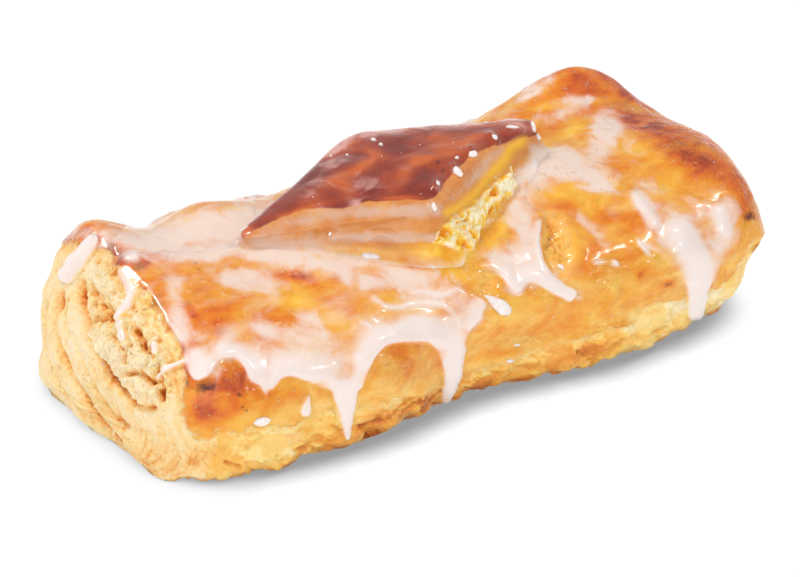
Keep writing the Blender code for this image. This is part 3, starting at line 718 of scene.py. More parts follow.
def along_roll(values, share):
    """A smooth curve through the values at STATIONS, read at a share of half the length."""
    knots = np.array(STATIONS)
    heights = np.array(values, dtype=float)
    slopes = np.gradient(heights, knots)
    share = np.clip(share, -1.0, 1.0)
    i = np.clip(np.searchsorted(knots, share) - 1, 0, len(knots) - 2)
    step = knots[i + 1] - knots[i]
    t = (share - knots[i]) / step
    return (
        (2 * t**3 - 3 * t**2 + 1) * heights[i]
        + (t**3 - 2 * t**2 + t) * step * slopes[i]
        + (3 * t**2 - 2 * t**3) * heights[i + 1]
        + (t**3 - t**2) * step * slopes[i + 1]
    )


def end_profile(share):
    """(x, size of the section) for a share from 0 at the near end's middle to 1 at the far end's."""
    half = LENGTH / 2
    turn = np.clip(np.minimum(share, 1 - share) / END_SHARE, 0, 1) * math.pi / 2
    size = np.sin(turn) ** (2 / END_SQUARENESS)
    depth = END_ROUNDING * (1 - np.cos(turn) ** (2 / END_SQUARENESS))
    straight = np.clip((share - END_SHARE) / (1 - 2 * END_SHARE), 0, 1)
    x = -half + END_ROUNDING + straight * (LENGTH - 2 * END_ROUNDING)
    x = np.where(share < END_SHARE, -half + depth, x)
    x = np.where(share > 1 - END_SHARE, half - depth, x)
    return x, size


def body_point(x, size, angle):
    """The plain body's point for a station, a size of the section from 0 to 1, and an angle round it."""
    share = x / (LENGTH / 2)
    rise = np.sin(angle)
    squareness = np.where(rise > 0, UPPER_SQUARENESS, LOWER_SQUARENESS)
    across = signed_power(np.cos(angle), 2 / squareness) * size
    up = signed_power(rise, 2 / squareness) * size
    y = across * np.where(across < 0, along_roll(FRONT_HALF_WIDTH, share), along_roll(BACK_HALF_WIDTH, share))

    front, crown, back = (along_roll(v, share) for v in (FRONT_HEIGHT, CROWN_HEIGHT, BACK_HEIGHT))
    height = crown + (back - front) / 2 * across + ((back + front) / 2 - crown) * across**2
    z = np.where(up > 0, height * (BELLY_SHARE + (1 - BELLY_SHARE) * up), height * BELLY_SHARE * (1 + up))
    for puff_x, puff_y, puff, reach_x, reach_y in PUFFS:
        near = np.exp(-(((x - puff_x) / reach_x) ** 2) - ((y - puff_y) / reach_y) ** 2)
        z = z + puff * near * np.clip((z - PUFF_FLOOR) / height, 0, 1)

    near_lean, far_lean = (np.interp(z, LEAN_HEIGHTS, v) for v in (NEAR_END_LEAN, FAR_END_LEAN))
    x = x + np.where(x < 0, near_lean, -far_lean) * smooth_step(np.abs(x), *LEAN_REACH)
    return np.stack([x, y, z - BASE_SINK], axis=-1)


def spread_out(points, count, closeness, closed=False):
    """Shares along a line of points for a count of places, closer together where closeness is larger."""
    weights = np.interp(np.linspace(0, 1, len(points)), *closeness)
    steps = np.linalg.norm(np.diff(points, axis=0), axis=1) * (weights[1:] + weights[:-1]) / 2
    length = np.concatenate([[0], np.cumsum(steps)])
    wanted = np.linspace(0, length[-1], count, endpoint=not closed)
    return np.interp(wanted, length, np.linspace(0, 1, len(points)))


def roll_grid(rings, points_round, ring_closeness, round_closeness, closed=True):
    """The plain body as rings of points, with the size of each ring."""
    x, size = end_profile(np.linspace(0, 1, DENSE))
    profile = np.column_stack([x, size * FRONT_HALF_WIDTH[0]])
    stations, sizes = end_profile(spread_out(profile, rings, ring_closeness))
    # The skin turns fast beside each quarter, so the angles start close together there.
    quarter, part = np.divmod(np.linspace(0, 4, DENSE), 1)
    angles = (quarter + part**3 / (part**3 + (1 - part) ** 3)) * math.pi / 2
    section = body_point(np.zeros(DENSE), np.ones(DENSE), angles)
    shares = spread_out(section[:, 1:], points_round, round_closeness, closed)
    angles = np.interp(shares, np.linspace(0, 1, DENSE), angles)
    grid = body_point(*np.broadcast_arrays(stations[:, None], sizes[:, None], angles))
    grid[..., 2] = np.maximum(grid[..., 2], 0)
    return grid, sizes


def grid_normals(grid, sizes, closed=True):
    """Outward normals of a grid of rings, turned straight along the roll where a ring is small."""
    along = np.gradient(grid, axis=0)
    if closed:
        around = np.roll(grid, -1, axis=1) - np.roll(grid, 1, axis=1)
    else:
        around = np.gradient(grid, axis=1)
    normals = unit(np.cross(around, along))
    outward = np.zeros_like(grid)
    outward[..., 0] = np.sign(grid[..., 0])
    straight = 1 - smooth_step(sizes, 0.2, 0.6)[:, None, None]
    return unit(normals * (1 - straight) + outward * straight)


def lumps(points, size, seed):
    """The same lumps as the solid has."""
    places = points.reshape(-1, 3) / size + seed * np.array((7.3, 3.1, 5.7))
    values = np.array([noise.noise(Vector(place)) for place in places])
    return np.clip(values.reshape(points.shape[:-1]) * 1.6, -1, 1)


def main_relief(grid, normals):
    """Lumps, lap seam, foot and blisters of the crust, as in the solid, but with the seam softer to the right."""
    x, y, z = (grid[..., k] for k in range(3))
    facing_up = smooth_step(normals[..., 2], 0.2, 0.7)
    facing_end = smooth_step(np.abs(normals[..., 0]), 0.45, 0.8)
    facing_side = 1 - np.maximum(facing_up, facing_end)
    behind = y - np.interp(x, *zip(*SEAM))
    width = np.interp(x, SOFTENED_FROM, (SEAM_WIDTH, SEAM_FADE))
    step = smooth_step(behind, SEAM_WIDTH - width, width) * (1 - smooth_step(behind, SEAM_WIDTH, SEAM_FADE + width))
    relief = CRUST_LUMP_HEIGHT * lumps(grid, CRUST_LUMP, 1) - SEAM_STEP * facing_up * step
    foot = facing_side * (1 - smooth_step(z, FLAKE_TOP - 3, FLAKE_TOP + 1))
    relief += foot * (FOOT_FLARE + FLAKE_HEIGHT * lumps(grid, FLAKE_LUMP, 3))
    for *middle, reach, height in BLISTERS:
        relief += height * hump(np.linalg.norm(grid - np.array(middle), axis=-1), reach)
    return relief


def moved_out(grid, normals, relief, resting):
    moved = grid + np.where(resting, 0, relief)[..., None] * normals
    moved[..., 2] = np.where(resting, 0, np.maximum(moved[..., 2], 0))
    return moved


def nudged(grid):
    """The grid with a few places moved to where the photograph has them."""
    total = np.zeros_like(grid)
    for middle, reach, move in NUDGES:
        away = (grid - np.array(middle)) / np.array(reach)
        total += np.exp(-np.sum(away**2, axis=-1))[..., None] * np.array(move)
    return grid + total


class Surface(Shown):
    """The roll's skin on one grid, with what covers it at each point."""

    def __init__(self, rings, points_round, ring_closeness, round_closeness, closed=True):
        plain, sizes = roll_grid(rings, points_round, ring_closeness, round_closeness, closed)
        self.resting = plain[..., 2] <= 0
        normals = grid_normals(plain, sizes, closed)
        grid = nudged(moved_out(plain, normals, main_relief(plain, normals), self.resting))
        super().__init__(grid, grid_normals(grid, sizes, closed), 0.22)
        self.turned = smooth_step(-self.facing, 0.0, 0.25)
        self.near_end = smooth_step(-self.normals[..., 0], 0.25, 0.6) * (self.x < 0)
        self.far_end = smooth_step(self.normals[..., 0], 0.3, 0.7) * (self.x > 0)
        self.at_end = np.maximum(self.near_end, self.far_end * 0.9)

        # Pixels past the line where the glaze ends, which lies at a given height where it doesn't show.
        wander = grain(grid, 4.0, 11)
        loop = np.array([*curve_through(GLAZE_EDGE), *FLAKY_SIDE, GLAZE_EDGE[0]])
        shown = inside_by(self.u, self.v, loop) + 2.5 * wander + 3.5 * grain(grid, 1.9, 13) * (1 - self.near_end)
        ends = np.maximum(self.far_end, self.near_end) > 0.5
        edge = np.where(ends, HIDDEN_END + 2 * wander, HIDDEN_FOOT + 2.5 * grain(grid, 9.0, 12))
        self.past_glaze = self.seen * shown + (1 - self.seen) * (edge - self.z) * PX_PER_MM
        self.flaky = smooth_step(self.past_glaze, -3.5, 4.5)
        self.layer = sizes[:, None] * 29 + 1.2 * grain(grid, 9.0, 22)


def end_relief(s):
    """Folds, torn core and layers of an end, how much each place stands out, and where the core is."""
    end, near = s.flaky * s.at_end, s.x < 0
    core_near = smooth_step(inside_loop(s, CORE) + 3 * grain(s.grid, 3.0, 21), -2, 7)
    core_far = smooth_step(1 - (s.y / 17) ** 2 - ((s.z - 19) / 8) ** 2, -0.1, 0.5)
    core = np.where(near, core_near * s.seen, core_far)
    folds = (ridges(s, SWELLS) - ridges(s, CREVICES)) * s.seen
    folds = np.where(near, folds, -1.4 * hump(to_line(s.y, s.z, FAR_FOLD), 1.0))

    # Layers run round the end, so their noise is fine across them and long along them.
    run = np.stack([s.layer, s.y * 0.10 + 50 * near, s.z * 0.10], axis=-1)
    layers = 0.20 * ridged(run, (2.4, 1, 1), 23) + 0.10 * ridged(run, (1.1, 0.7, 0.7), 24)
    layers = (1 - 0.8 * core) * (layers + 0.45 * grain(s.grid, 5.0, 25))

    # The torn middle has long ragged ridges that run down to the front, with pits and pores between them.
    warped = s.grid + 1.1 * grain(s.grid, 2.6, 26)[..., None] * np.array((0.3, 1.0, -0.8))
    torn = warped @ np.array(((0.0, -0.77, 0.64), (0.0, -0.64, -0.77), (0.0, 0.0, 0.0))).T
    _, to_wall, hollow = shards(torn, (2.2, 4.6, 1.0), 27)
    crags = 0.7 * (1 - smooth_step(to_wall, 0.02, 0.42)) - 0.6 * hollow[..., 0] + 0.30 * ridged(torn, (1.1, 3.4, 1), 28)
    crags += 0.18 * ridged(s.grid, 0.8, 29) + 0.3 * grain(s.grid, 4.0, 30)
    to_pit, _, label = shards(s.grid, 2.3, 31)
    pits = -1.0 * (1 - smooth_step(to_pit, 0.10, 0.40)) * (label[..., 0] > 0.6)
    pores = -0.35 * (1 - smooth_step(shards(s.grid, 0.8, 32)[0], 0.10, 0.45))
    crumb = np.clip(1 - np.abs(s.past_glaze - 12) / 14, 0, 1) * core
    rough = core * (1 - 0.6 * crumb) * (crags + pits) + (0.12 + 0.88 * np.maximum(core, crumb)) * pores

    lip = smooth_step(s.past_glaze, -1.0, 3.0) * (1 - 0.6 * smooth_step(s.past_glaze, 10, 60))
    relief = end * (folds + layers + rough - 0.6 * lip)
    return relief, end * (0.9 * folds + 1.3 * layers + 1.2 * rough - 0.25 * core), core * end


def foot_relief(s):
    """Overlapping plates, slits and ragged edge of the flaky foot, its paleness with painted shade in it, and where it
    is.
    """
    foot = s.flaky * (1 - s.at_end)
    warped = s.grid + np.array((2.6, 1.6, 1.3)) * grain(s.grid, 4.5, 33)[..., None]
    warped = warped + 0.4 * grain(s.grid, 1.3, 37)[..., None]
    _, border, label = shards(warped, (8.5, 8.5, 4.2), 34)
    _, small_border, small = shards(warped, (3.4, 3.4, 2.0), 40)
    scraps = (small[..., 0] > 0.62) * smooth_step(small_border, 0.02, 0.12)
    plates = 0.9 * (label[..., 0] - 0.5) - 0.22 * (1 - smooth_step(border, 0.0, 0.10)) + 0.32 * scraps
    plates += 0.30 * grain(s.grid, (8.0, 8.0, 4.0), 35) + 0.05 * grain(s.grid, (2.2, 2.2, 1.0), 36)
    slits = ridges(s, FOOT_SLITS) * s.seen
    ragged = 1.1 * np.maximum(grain(s.grid, (3.4, 3.4, 3.0), 38), 0) * (1 - smooth_step(s.z, 0.2, 3.0))
    undercut = -0.7 * smooth_step(grain(s.grid, (9, 9, 4), 39), 0.1, 0.6) * (1 - smooth_step(s.z, 0.5, 4.0))
    edge = hump(s.past_glaze - 5, 5) * smooth_step(small_border, 0.0, 0.15) * (small[..., 1] > 0.45)
    lip = smooth_step(s.past_glaze, -1.0, 3.0) * (1 - smooth_step(s.past_glaze, 8, 30))
    relief = foot * (plates - slits + ragged + undercut + 0.25 * edge - 0.35 * lip)
    # Paler scraps and plate edges, darker slits, browner at the very bottom; undercuts and the foot's patches paint
    # shade.
    pale = 0.9 * (label[..., 1] - 0.58) + 0.35 * scraps + 0.7 * edge + 0.5 * undercut - 0.8 * slits
    pale -= 0.9 * (1 - smooth_step(s.z, 0.3, 2.0)) + 1.3 * patches(s, FOOT_PAINTED_SHADE) * s.seen
    return relief, foot * pale, foot


def crust_relief(s):
    """Wrinkles and small blisters of the glazed crust, with where it is torn and where it is rough."""
    crust = 1 - s.flaky
    hidden = 0.35 * smooth_step(grain(s.grid, 14.0, 41), 0.0, 0.5)
    rough = s.seen * patches(s, ROUGH_CRUST) + (1 - s.seen) * hidden
    rough = np.where(s.normals[..., 2] > -0.2, rough, 0)
    relief = 0.38 * layered(s.grid, 8.0, 2, 42) + 0.10 * grain(s.grid, (2.6, 2.6, 1.6), 43)
    relief += rough * (0.30 * layered(s.grid, (2.6, 2.6, 1.9), 2, 44) + 0.16 * grain(s.grid, 1.2, 45))
    relief += (ridges(s, CRUST_LINES) - ridges(s, TORN_GROOVE)) * s.seen
    torn = patches(s, TORN_PATCHES) * s.seen
    _, border, label = shards(s.grid, 2.2, 46)
    relief += torn * (1.1 * (label[..., 0] - 0.5) - 0.3 * (1 - smooth_step(border, 0.0, 0.2)) - 0.6)
    return crust * relief, torn * crust, rough * crust


# Meshes


def new_object(name, data):
    obj = bpy.data.objects.new(name, data)
    bpy.context.scene.collection.objects.link(obj)
    return obj


def grid_mesh(name, grid, attributes):
    """A closed tube of rings between two tips, with numbers kept on its points."""
    rings = grid[1:-1]
    ring_count, count = rings.shape[:2]
    number = np.arange(ring_count * count).reshape(ring_count, count)
    following = np.roll(number, -1, axis=1)
    quads = np.stack([number[:-1], following[:-1], following[1:], number[1:]], axis=-1).reshape(-1, 4)
    points = np.concatenate([rings.reshape(-1, 3), grid[[0, -1]].mean(axis=1)])
    caps = [(number.size, b, a) for a, b in zip(number[0].tolist(), following[0].tolist())]
    caps += [(number.size + 1, a, b) for a, b in zip(number[-1].tolist(), following[-1].tolist())]
    values = {
        key: np.concatenate([value[1:-1].reshape(-1), value[[0, -1]].mean(axis=1)])
        for key, value in attributes.items()
    }
    return make_mesh(name, points, quads.tolist() + caps, values)


def make_mesh(name, points, faces, values):
    """A smooth mesh in the part's own place and in metres, with numbers kept on its points."""
    mesh = bpy.data.meshes.new(name)
    mesh.from_pydata(((np.asarray(points) + CENTRING) * MM).tolist(), [], faces)
    work = bmesh.new()
    work.from_mesh(mesh)
    bmesh.ops.recalc_face_normals(work, faces=work.faces)
    work.to_mesh(mesh)
    work.free()
    for key, value in values.items():
        layer = mesh.attributes.new(key, "FLOAT", "POINT")
        layer.data.foreach_set("value", np.asarray(value, dtype=np.float32))
    mesh.shade_smooth()
    return new_object(name, mesh)


# What covers the dough


def icing_depth(s):
    """How far inside the icing each place is, in pixels, and how thick the icing stands there and would stand
    without its rounded edge, in millimetres."""
    inside = np.full(s.u.shape, -99.0)
    for sheet in ICING_SHEETS:
        inside = merged(inside, inside_loop(s, sheet), 3.0)
    for stroke in ICING_STROKES:
        inside = merged(inside, inside_stroke(s, *stroke), 4.0)
    inside = inside + 1.1 * grain(s.grid, 2.6, 51) + 0.5 * grain(s.grid, 1.2, 52)

    hem = BACK_HEM + 2.2 * grain(s.grid * (1, 0, 0), 11.0, 53)
    runs = 0.0
    for place, width, length in BACK_DRIPS:
        runs = np.maximum(runs, length * np.exp(-(np.abs((s.x - place) / width) ** 2.6)))
    behind = (s.z - hem + runs) * 2.4 - 40 * smooth_step(np.abs(s.x), 66, 72) - 40 * (s.y < 8)
    inside = inside + (behind - inside) * s.turned

    unseen = 1 - smooth_step(s.facing, 0.0, 0.1)
    ridge = 0.85 * ridges(s, ICING_RIDGES, np.maximum, 1.5) * (1 - patches(s, ICING_THIN)) * (1 - unseen)
    ridge += unseen * 0.8 * smooth_step(runs, 0.8, 2.5) * smooth_step(36 - s.z, 0, 9)
    height = ICING_FILM + ridge * (1 + 0.25 * grain(s.grid, 4.0, 54))
    part = np.clip(inside / (5.0 + 3.5 * height), 0, 1)
    return inside, height * (1 - (1 - part) ** 2.2), height * smooth_step(inside / (3.0 + 1.5 * height), -0.1, 1.0)


def relief_of(s):
    """All the relief of the dough on one skin, with what its colours need."""
    ends, end_height, core = end_relief(s)
    foot, foot_height, low = foot_relief(s)
    crust, torn, rough = crust_relief(s)
    return ends + foot + crust, end_height + foot_height + torn * (0.9 * crust + 0.1), core, low, torn, rough


def dough_colours(s, standing_out, core, low, torn, rough):
    """The numbers that the dough's material reads."""
    seen = 1 - s.turned
    up = smooth_step(s.normals[..., 2], 0.2, 0.8)
    baked = 0.42 + 0.10 * up + 0.08 * smooth_step(s.x, 40, 70) + 0.10 * layered(s.grid, 13.0, 3, 61)
    baked += 0.16 * hump(s.past_glaze, 16) * (smooth_step(s.z, 14, 26) - 0.8 * (1 - smooth_step(s.z, 8, 16)))
    baked += 0.65 * seen * sum_of_patches(s, BAKED) + 0.06 * rough
    baked += s.turned * (0.16 * smooth_step(s.z, 22, 33) + 0.12 * layered(s.grid, 9.0, 2, 62))

    behind = smooth_step(s.y, 4, 14) * (1 - smooth_step(np.abs(s.x), 30, 45))
    film = 0.55 * smooth_step(s.z + 4 * grain(s.grid, 9.0, 63), 27, 34) * (1 - 0.7 * smooth_step(s.x, 50, 62))
    # The veil is milky icing; where its patches lie on streaks of highlight it is a painted highlight.
    veil = (patches(s, MILKY_AND_HIGHLIGHTS) + 0.12 * up) * (1 - patches(s, CLEAR))
    buttery = low * 0.9 + torn + s.far_end * 0.3 + 0.1 * core + 0.2 * grain(s.grid, 8.0, 64)
    soaked = 0.45 * smooth_step(layered(s.grid, (15.0, 9.0, 9.0), 2, 66), 0.05, 0.5)
    browned = s.flaky * (1 - low) * hump(s.past_glaze, 13) * smooth_step(s.z, 8, 22)
    shaded = s.near_end * (1 - smooth_step(s.z, 2, 16)) * smooth_step(-s.y, -4, 12)
    # Paler where the dough stands out and darker in its hollows: partly its tone, partly painted light and shade.
    raised = 0.54 + (0.22 * s.near_end + 0.06 * s.far_end) * s.flaky - 0.26 * browned - 0.04 * core - 0.30 * shaded
    raised += (0.34 + 0.08 * core) * standing_out + 0.12 * grain(s.grid, 5.0, 65) * (1 - low)
    flaky = s.flaky + (smooth_step(s.past_glaze, -8, 10) - s.flaky) * smooth_step(-s.x, 52, 64)
    return {
        "baked": baked, "milky": seen * np.maximum(veil, behind * film) + s.turned * film,
        "yellowed": seen * np.maximum(patches(s, YELLOWED), soaked), "charred": seen * patches(s, CHARRED),
        "flaky": flaky, "rough": rough, "buttery": np.clip(buttery, 0, 1), "raised": np.clip(raised, 0, 1),
        "torn": torn, "low": low, "porous": np.maximum(core, 0.55 * s.near_end), "layer": s.layer,
    }


# Pieces


def make_dough(rings, points_round, depth):
    s = Surface(rings, points_round, DOUGH_ALONG, DOUGH_ROUND)
    relief, standing_out, *covers = relief_of(s)
    inside = icing_depth(s)[0]
    sunk = ICING_BED * smooth_step(inside, 1.0, 5.0) * (1 - s.flaky)
    grid = moved_out(s.grid, s.normals, depth * relief - sunk, s.resting)
    return grid_mesh("dough", grid, dough_colours(s, standing_out, *covers))


def blurred(values, times):
    """The values of a grid, evened out with those beside them a number of times."""
    for _ in range(times):
        for axis in (0, 1):
            padded = np.concatenate([values.take([0], axis), values, values.take([-1], axis)], axis)
            count = values.shape[axis]
            before, after = padded.take(range(count), axis), padded.take(range(2, count + 2), axis)
            values = (before + 2 * values + after) / 4
    return values


def make_icing(rings, points_round, thickness):
    s = Surface(rings, points_round, ICING_ALONG, ICING_ROUND, closed=False)
    relief, standing_out, *covers = relief_of(s)
    inside, depth, body = icing_depth(s)
    depth = depth * thickness
    smoothed = relief + (blurred(relief, ICING_SMOOTHING) - relief) * smooth_step(depth, 0.05, 0.5)
    sink = np.where(inside > 0, 0.0, np.clip(-inside / PX_PER_MM * 1.3, 0, 1) * (0.5 + 1.4 * s.near_end))
    top = moved_out(s.grid, s.normals, smoothed + depth - sink, s.resting)
    under = moved_out(s.grid, s.normals, relief - ICING_UNDERSIDE - sink, s.resting)
    wanted = (inside > -3.0) & (s.z > 1.0)
    cells = wanted[:-1, :-1] | wanted[1:, :-1] | wanted[:-1, 1:] | wanted[1:, 1:]
    values = {"thick": body / ICING_WHITE, **dough_colours(s, standing_out, *covers)}
    return shell_mesh("icing", top, under, cells, values)


def shell_mesh(name, top, under, cells, values):
    """A closed shell over the wanted cells of a grid: its top, its underside and walls between them."""
    count = top.shape[1]
    number = np.arange(top.shape[0] * count).reshape(top.shape[:2])
    corners = np.stack([number[:-1, :-1], number[:-1, 1:], number[1:, 1:], number[1:, :-1]], axis=-1)[cells]
    edges = np.concatenate([corners[:, [k, (k + 1) % 4]] for k in range(4)])
    key = edges[:, 0] * top.size + edges[:, 1]
    opposite = edges[:, 1] * top.size + edges[:, 0]
    rim = edges[~np.isin(key, opposite)]
    used = np.unique(corners)
    place_of = np.full(number.size, -1)
    place_of[used] = np.arange(len(used))
    upper = place_of[corners]
    rim = place_of[rim]
    below = len(used)
    walls = np.column_stack([rim[:, 1], rim[:, 0], rim[:, 0] + below, rim[:, 1] + below])
    points = np.concatenate([top.reshape(-1, 3)[used], under.reshape(-1, 3)[used]])
    faces = np.concatenate([upper, upper[:, ::-1] + below, walls])
    kept_values = {key: np.tile(value.reshape(-1)[used], 2) for key, value in values.items()}
    return make_mesh(name, points, faces.tolist(), kept_values)


def skin_of(name):
    """A piece as something that a ray can hit, in the layout's millimetres."""
    mesh = bpy.data.objects[name].data
    points = np.empty(len(mesh.vertices) * 3, dtype=np.float32)
    mesh.vertices.foreach_get("co", points)
    points = points.reshape(-1, 3) / MM - np.array(CENTRING)
    return BVHTree.FromPolygons(points.tolist(), [tuple(face.vertices) for face in mesh.polygons])


def down_on(skin, places, high=80.0):
    """Height of the skin under each place."""
    heights = []
    for x, y in places:
        hit = skin.ray_cast(Vector((x, y, high)), Vector((0, 0, -1)))[0]
        heights.append(hit.z if hit else 0.0)
    return np.array(heights)


def blurred_round(values, times):
    for _ in range(times):
        values = (np.roll(values, 1) + 2 * values + np.roll(values, -1)) / 4
    return values


def rounded_loop(corners, count):
    """Even points round a loop of corners, with the corners rounded."""
    corners = np.array(corners, dtype=float)
    points = []
    for before, corner, after in zip(np.roll(corners, 1, axis=0), corners, np.roll(corners, -1, axis=0)):
        start = corner + (before - corner) * LOZENGE_CORNER_ROUNDING
        stop = corner + (after - corner) * LOZENGE_CORNER_ROUNDING
        for t in np.linspace(0, 1, 12):
            points.append((1 - t) ** 2 * start + 2 * t * (1 - t) * corner + t**2 * stop)
    loop = np.array([*points, points[0]])
    length = length_along(loop)
    wanted = np.linspace(0, length[-1], count, endpoint=False)
    return np.column_stack([np.interp(wanted, length, values) for values in loop.T])


def lozenge_grid(points_round, top_rings, wall_rings):
    """The lozenge's plain rings, with how far each lies out on the top and down the wall, and its foot."""
    top = rounded_loop(LOZENGE_TOP, points_round)
    foot = rounded_loop(LOZENGE_FOOT, points_round)
    outward = unit((np.roll(foot, -1, axis=0) - np.roll(foot, 1, axis=0))[:, ::-1] * (1, -1)) * LOZENGE_FLARE
    heights = blurred_round(down_on(skin_of("dough"), foot + outward), 12)
    foot = np.column_stack([foot, heights - LOZENGE_SINK])
    outward = np.column_stack([outward, np.zeros(points_round)])
    middle = top.mean(axis=0)
    spreads = 1 - (1 - np.linspace(0, 1, top_rings)) ** 1.35
    shares = np.linspace(0, 1, wall_rings + 1)[1:]
    rings = []
    for spread in spreads:
        rings.append(middle + (top - middle) * spread)
        over = np.clip((spread - 0.86) / 0.14, 0, 1)
        rings[-1][:, 2] += LOZENGE_CROWN * (1 - spread**2.5) - 0.9 * (1 - math.sqrt(1 - over**2))
    edge = rings[-1]
    rings += [edge * (1 - share) + foot * share + outward * share**4 for share in shares]
    spread = np.append(spreads, np.ones(wall_rings))[:, None] * np.ones(points_round)
    wall = np.append(np.zeros(top_rings), shares)[:, None] * np.ones(points_round)
    return np.array(rings), spread, wall, foot


def make_lozenge(points_round, top_rings, wall_rings):
    """The slab of dough on top: a crowned dark face, a smooth wall to the front and a torn one to the right."""
    grid, spread, wall, foot = lozenge_grid(points_round, top_rings, wall_rings)
    around = np.roll(grid, -1, axis=1) - np.roll(grid, 1, axis=1)
    normals = unit(np.cross(np.gradient(grid, axis=0), around))
    normals[0] = (0, 0, 1)
    s = Shown(grid, normals, 0.2)

    torn = smooth_step(inside_loop(s, TORN_WALL) + 3.6 * grain(grid, 2.2, 71), 0.5, 6.0) * s.seen * (wall > 0)
    dark = s.seen * smooth_step(inside_loop(s, DARK_TOP) + 1.6 * grain(grid, 2.5, 72), -2, 2)
    dark += (1 - s.seen) * (1 - smooth_step(wall + 0.12 * grain(grid, 4.0, 73), 0.45, 0.6))
    crack = by_line(s, AMBER_CRACK, 5.6) * s.seen * (wall > 0.02)
    groove = by_line(s, WALL_GROOVE, 4.0) * s.seen
    ledge = by_line(s, WALL_LEDGE, 4.5) * s.seen * (wall > 0.2)

    flat = 1 - smooth_step(wall, 0, 0.15)
    waves = 0.45 * layered(grid, 11.0, 2, 74) + 0.05 * grain(grid, 3.0, 75)
    waves += 0.15 * (1 - smooth_step(spread, 0.75, 1.0)) * grain(grid, 5.0, 76)
    relief = flat * waves + (1 - flat) * 0.30 * grain(grid, (7, 7, 5), 77)
    relief += s.seen * ridges(s, DARK_BEADS) * (wall < 0.3) - 0.3 * groove + 0.8 * ledge - 0.5 * crack
    warped = grid + 1.0 * grain(grid, 2.4, 78)[..., None]
    scraps = 0.9 * ridged(warped, (3.4, 3.4, 2.2), 79) + 0.45 * ridged(warped, 1.4, 80) + 0.15 * ridged(grid, 0.6, 81)
    relief += torn * (0.85 * scraps + 0.4 * smooth_step(wall, 0.4, 0.7))
    relief *= 1 - smooth_step(wall, 0.9, 1.0)
    bottom = foot.mean(axis=0)
    bottom[2] = foot[:, 2].min() - 1.0
    closing = [foot * (1 - share) + bottom * share for share in (0.5, 1.0)]
    grid = np.concatenate([grid + relief[..., None] * normals, closing])

    # Toward its foot the wall takes the looks of the crust that it stands on.
    blend = smooth_step(wall, 0.5, 0.9)
    # Milky glaze with painted sheen and highlights from the lozenge's patches, and the crust's film at its foot.
    milky = patches(s, LOZENGE_FILM_AND_SHEEN) * (1 - blend) + (patches(s, MILKY_AND_HIGHLIGHTS) + 0.30) * blend
    values = {
        "dark": dark, "torn": torn, "crack": crack, "streak": groove, "blend": blend,
        "milky": s.seen * milky + (1 - s.seen) * 0.5, "amber": s.seen * patches(s, LOZENGE_AMBER),
        "charred": s.seen * patches(s, LOZENGE_SPECKS), "yellowed": s.seen * patches(s, YELLOWED) * (wall > 0.1),
        "raised": np.clip(0.24 + 0.42 * scraps, 0, 1),
    }
    values = {key: np.concatenate([value, value[-1:], value[-1:]]) for key, value in values.items()}
    return grid_mesh("lozenge_crust", grid, values)


def frame_of(normal, turn):
    """Two directions across a normal, turned about it."""
    side = unit(np.cross(normal, (0.3, 0.5, 0.81)))
    other = np.cross(normal, side)
    return side * math.cos(turn) + other * math.sin(turn), other * math.cos(turn) - side * math.sin(turn)


class Bits:
    """Many small closed lumps, gathered into one mesh."""

    def __init__(self, seed):
        self.random = np.random.default_rng(seed)
        self.points, self.faces, self.values = [], [], {"raised": [], "buttery": []}
        self.count = 0

    def lump(self, middle, normal, along, across, high, turn, ragged, points_round, curl=0.0, lean=0.0):
        """A flattened lump with a ragged edge, which may curl up and lean."""
        first, second = frame_of(normal, turn)
        up = unit(normal + lean * first)
        angles = np.arange(points_round) / points_round * 2 * math.pi
        rough = 1 + ragged * self.random.uniform(-1, 1, points_round)
        rings = []
        for reach, level, _ in LUMP_RINGS:
            a, b = np.cos(angles) * rough * reach * along, np.sin(angles) * rough * reach * across
            lift = high * (level + 0.2 * self.random.uniform(-1, 1, points_round)) + curl * (a / along) ** 2 * along
            rings.append(middle + a[:, None] * first + b[:, None] * second + lift[:, None] * up)
        tips = rings[0].mean(axis=0) + 0.1 * high * up, rings[-1].mean(axis=0)

        count = len(rings) * points_round
        number = self.count + np.arange(count).reshape(len(rings), points_round)
        following = np.roll(number, -1, axis=1)
        quads = np.stack([number[:-1], number[1:], following[1:], following[:-1]], axis=-1)
        self.faces += quads.reshape(-1, 4).tolist()
        self.faces += [(self.count + count, a, b) for a, b in zip(number[0].tolist(), following[0].tolist())]
        self.faces += [(self.count + count + 1, b, a) for a, b in zip(number[-1].tolist(), following[-1].tolist())]
        self.points += [*rings, np.array(tips)]
        self.count += count + 2
        shade = self.random.uniform(-0.15, 0.15)
        edge = np.repeat([paleness for *_, paleness in LUMP_RINGS], points_round) + shade
        self.values["raised"].append(np.append(edge, (0.6 + shade, 0.4)))
        self.values["buttery"].append(np.full(count + 2, self.random.uniform(0, 0.6)))

    def mesh(self, name):
        values = {key: np.concatenate(value) for key, value in self.values.items()}
        return make_mesh(name, np.concatenate(self.points), self.faces, values)


def hit_in_frame(skins, u, v):
    """Where the line of sight through a place in the frame first meets a piece, and the normal there."""
    way = Vector(way_through(u, v))
    best = None
    for skin in skins:
        point, normal, _, distance = skin.ray_cast(Vector(VIEW_FROM), way)
        if point and (best is None or distance < best[2]):
            best = (np.array(point), np.array(normal), distance)
    return best


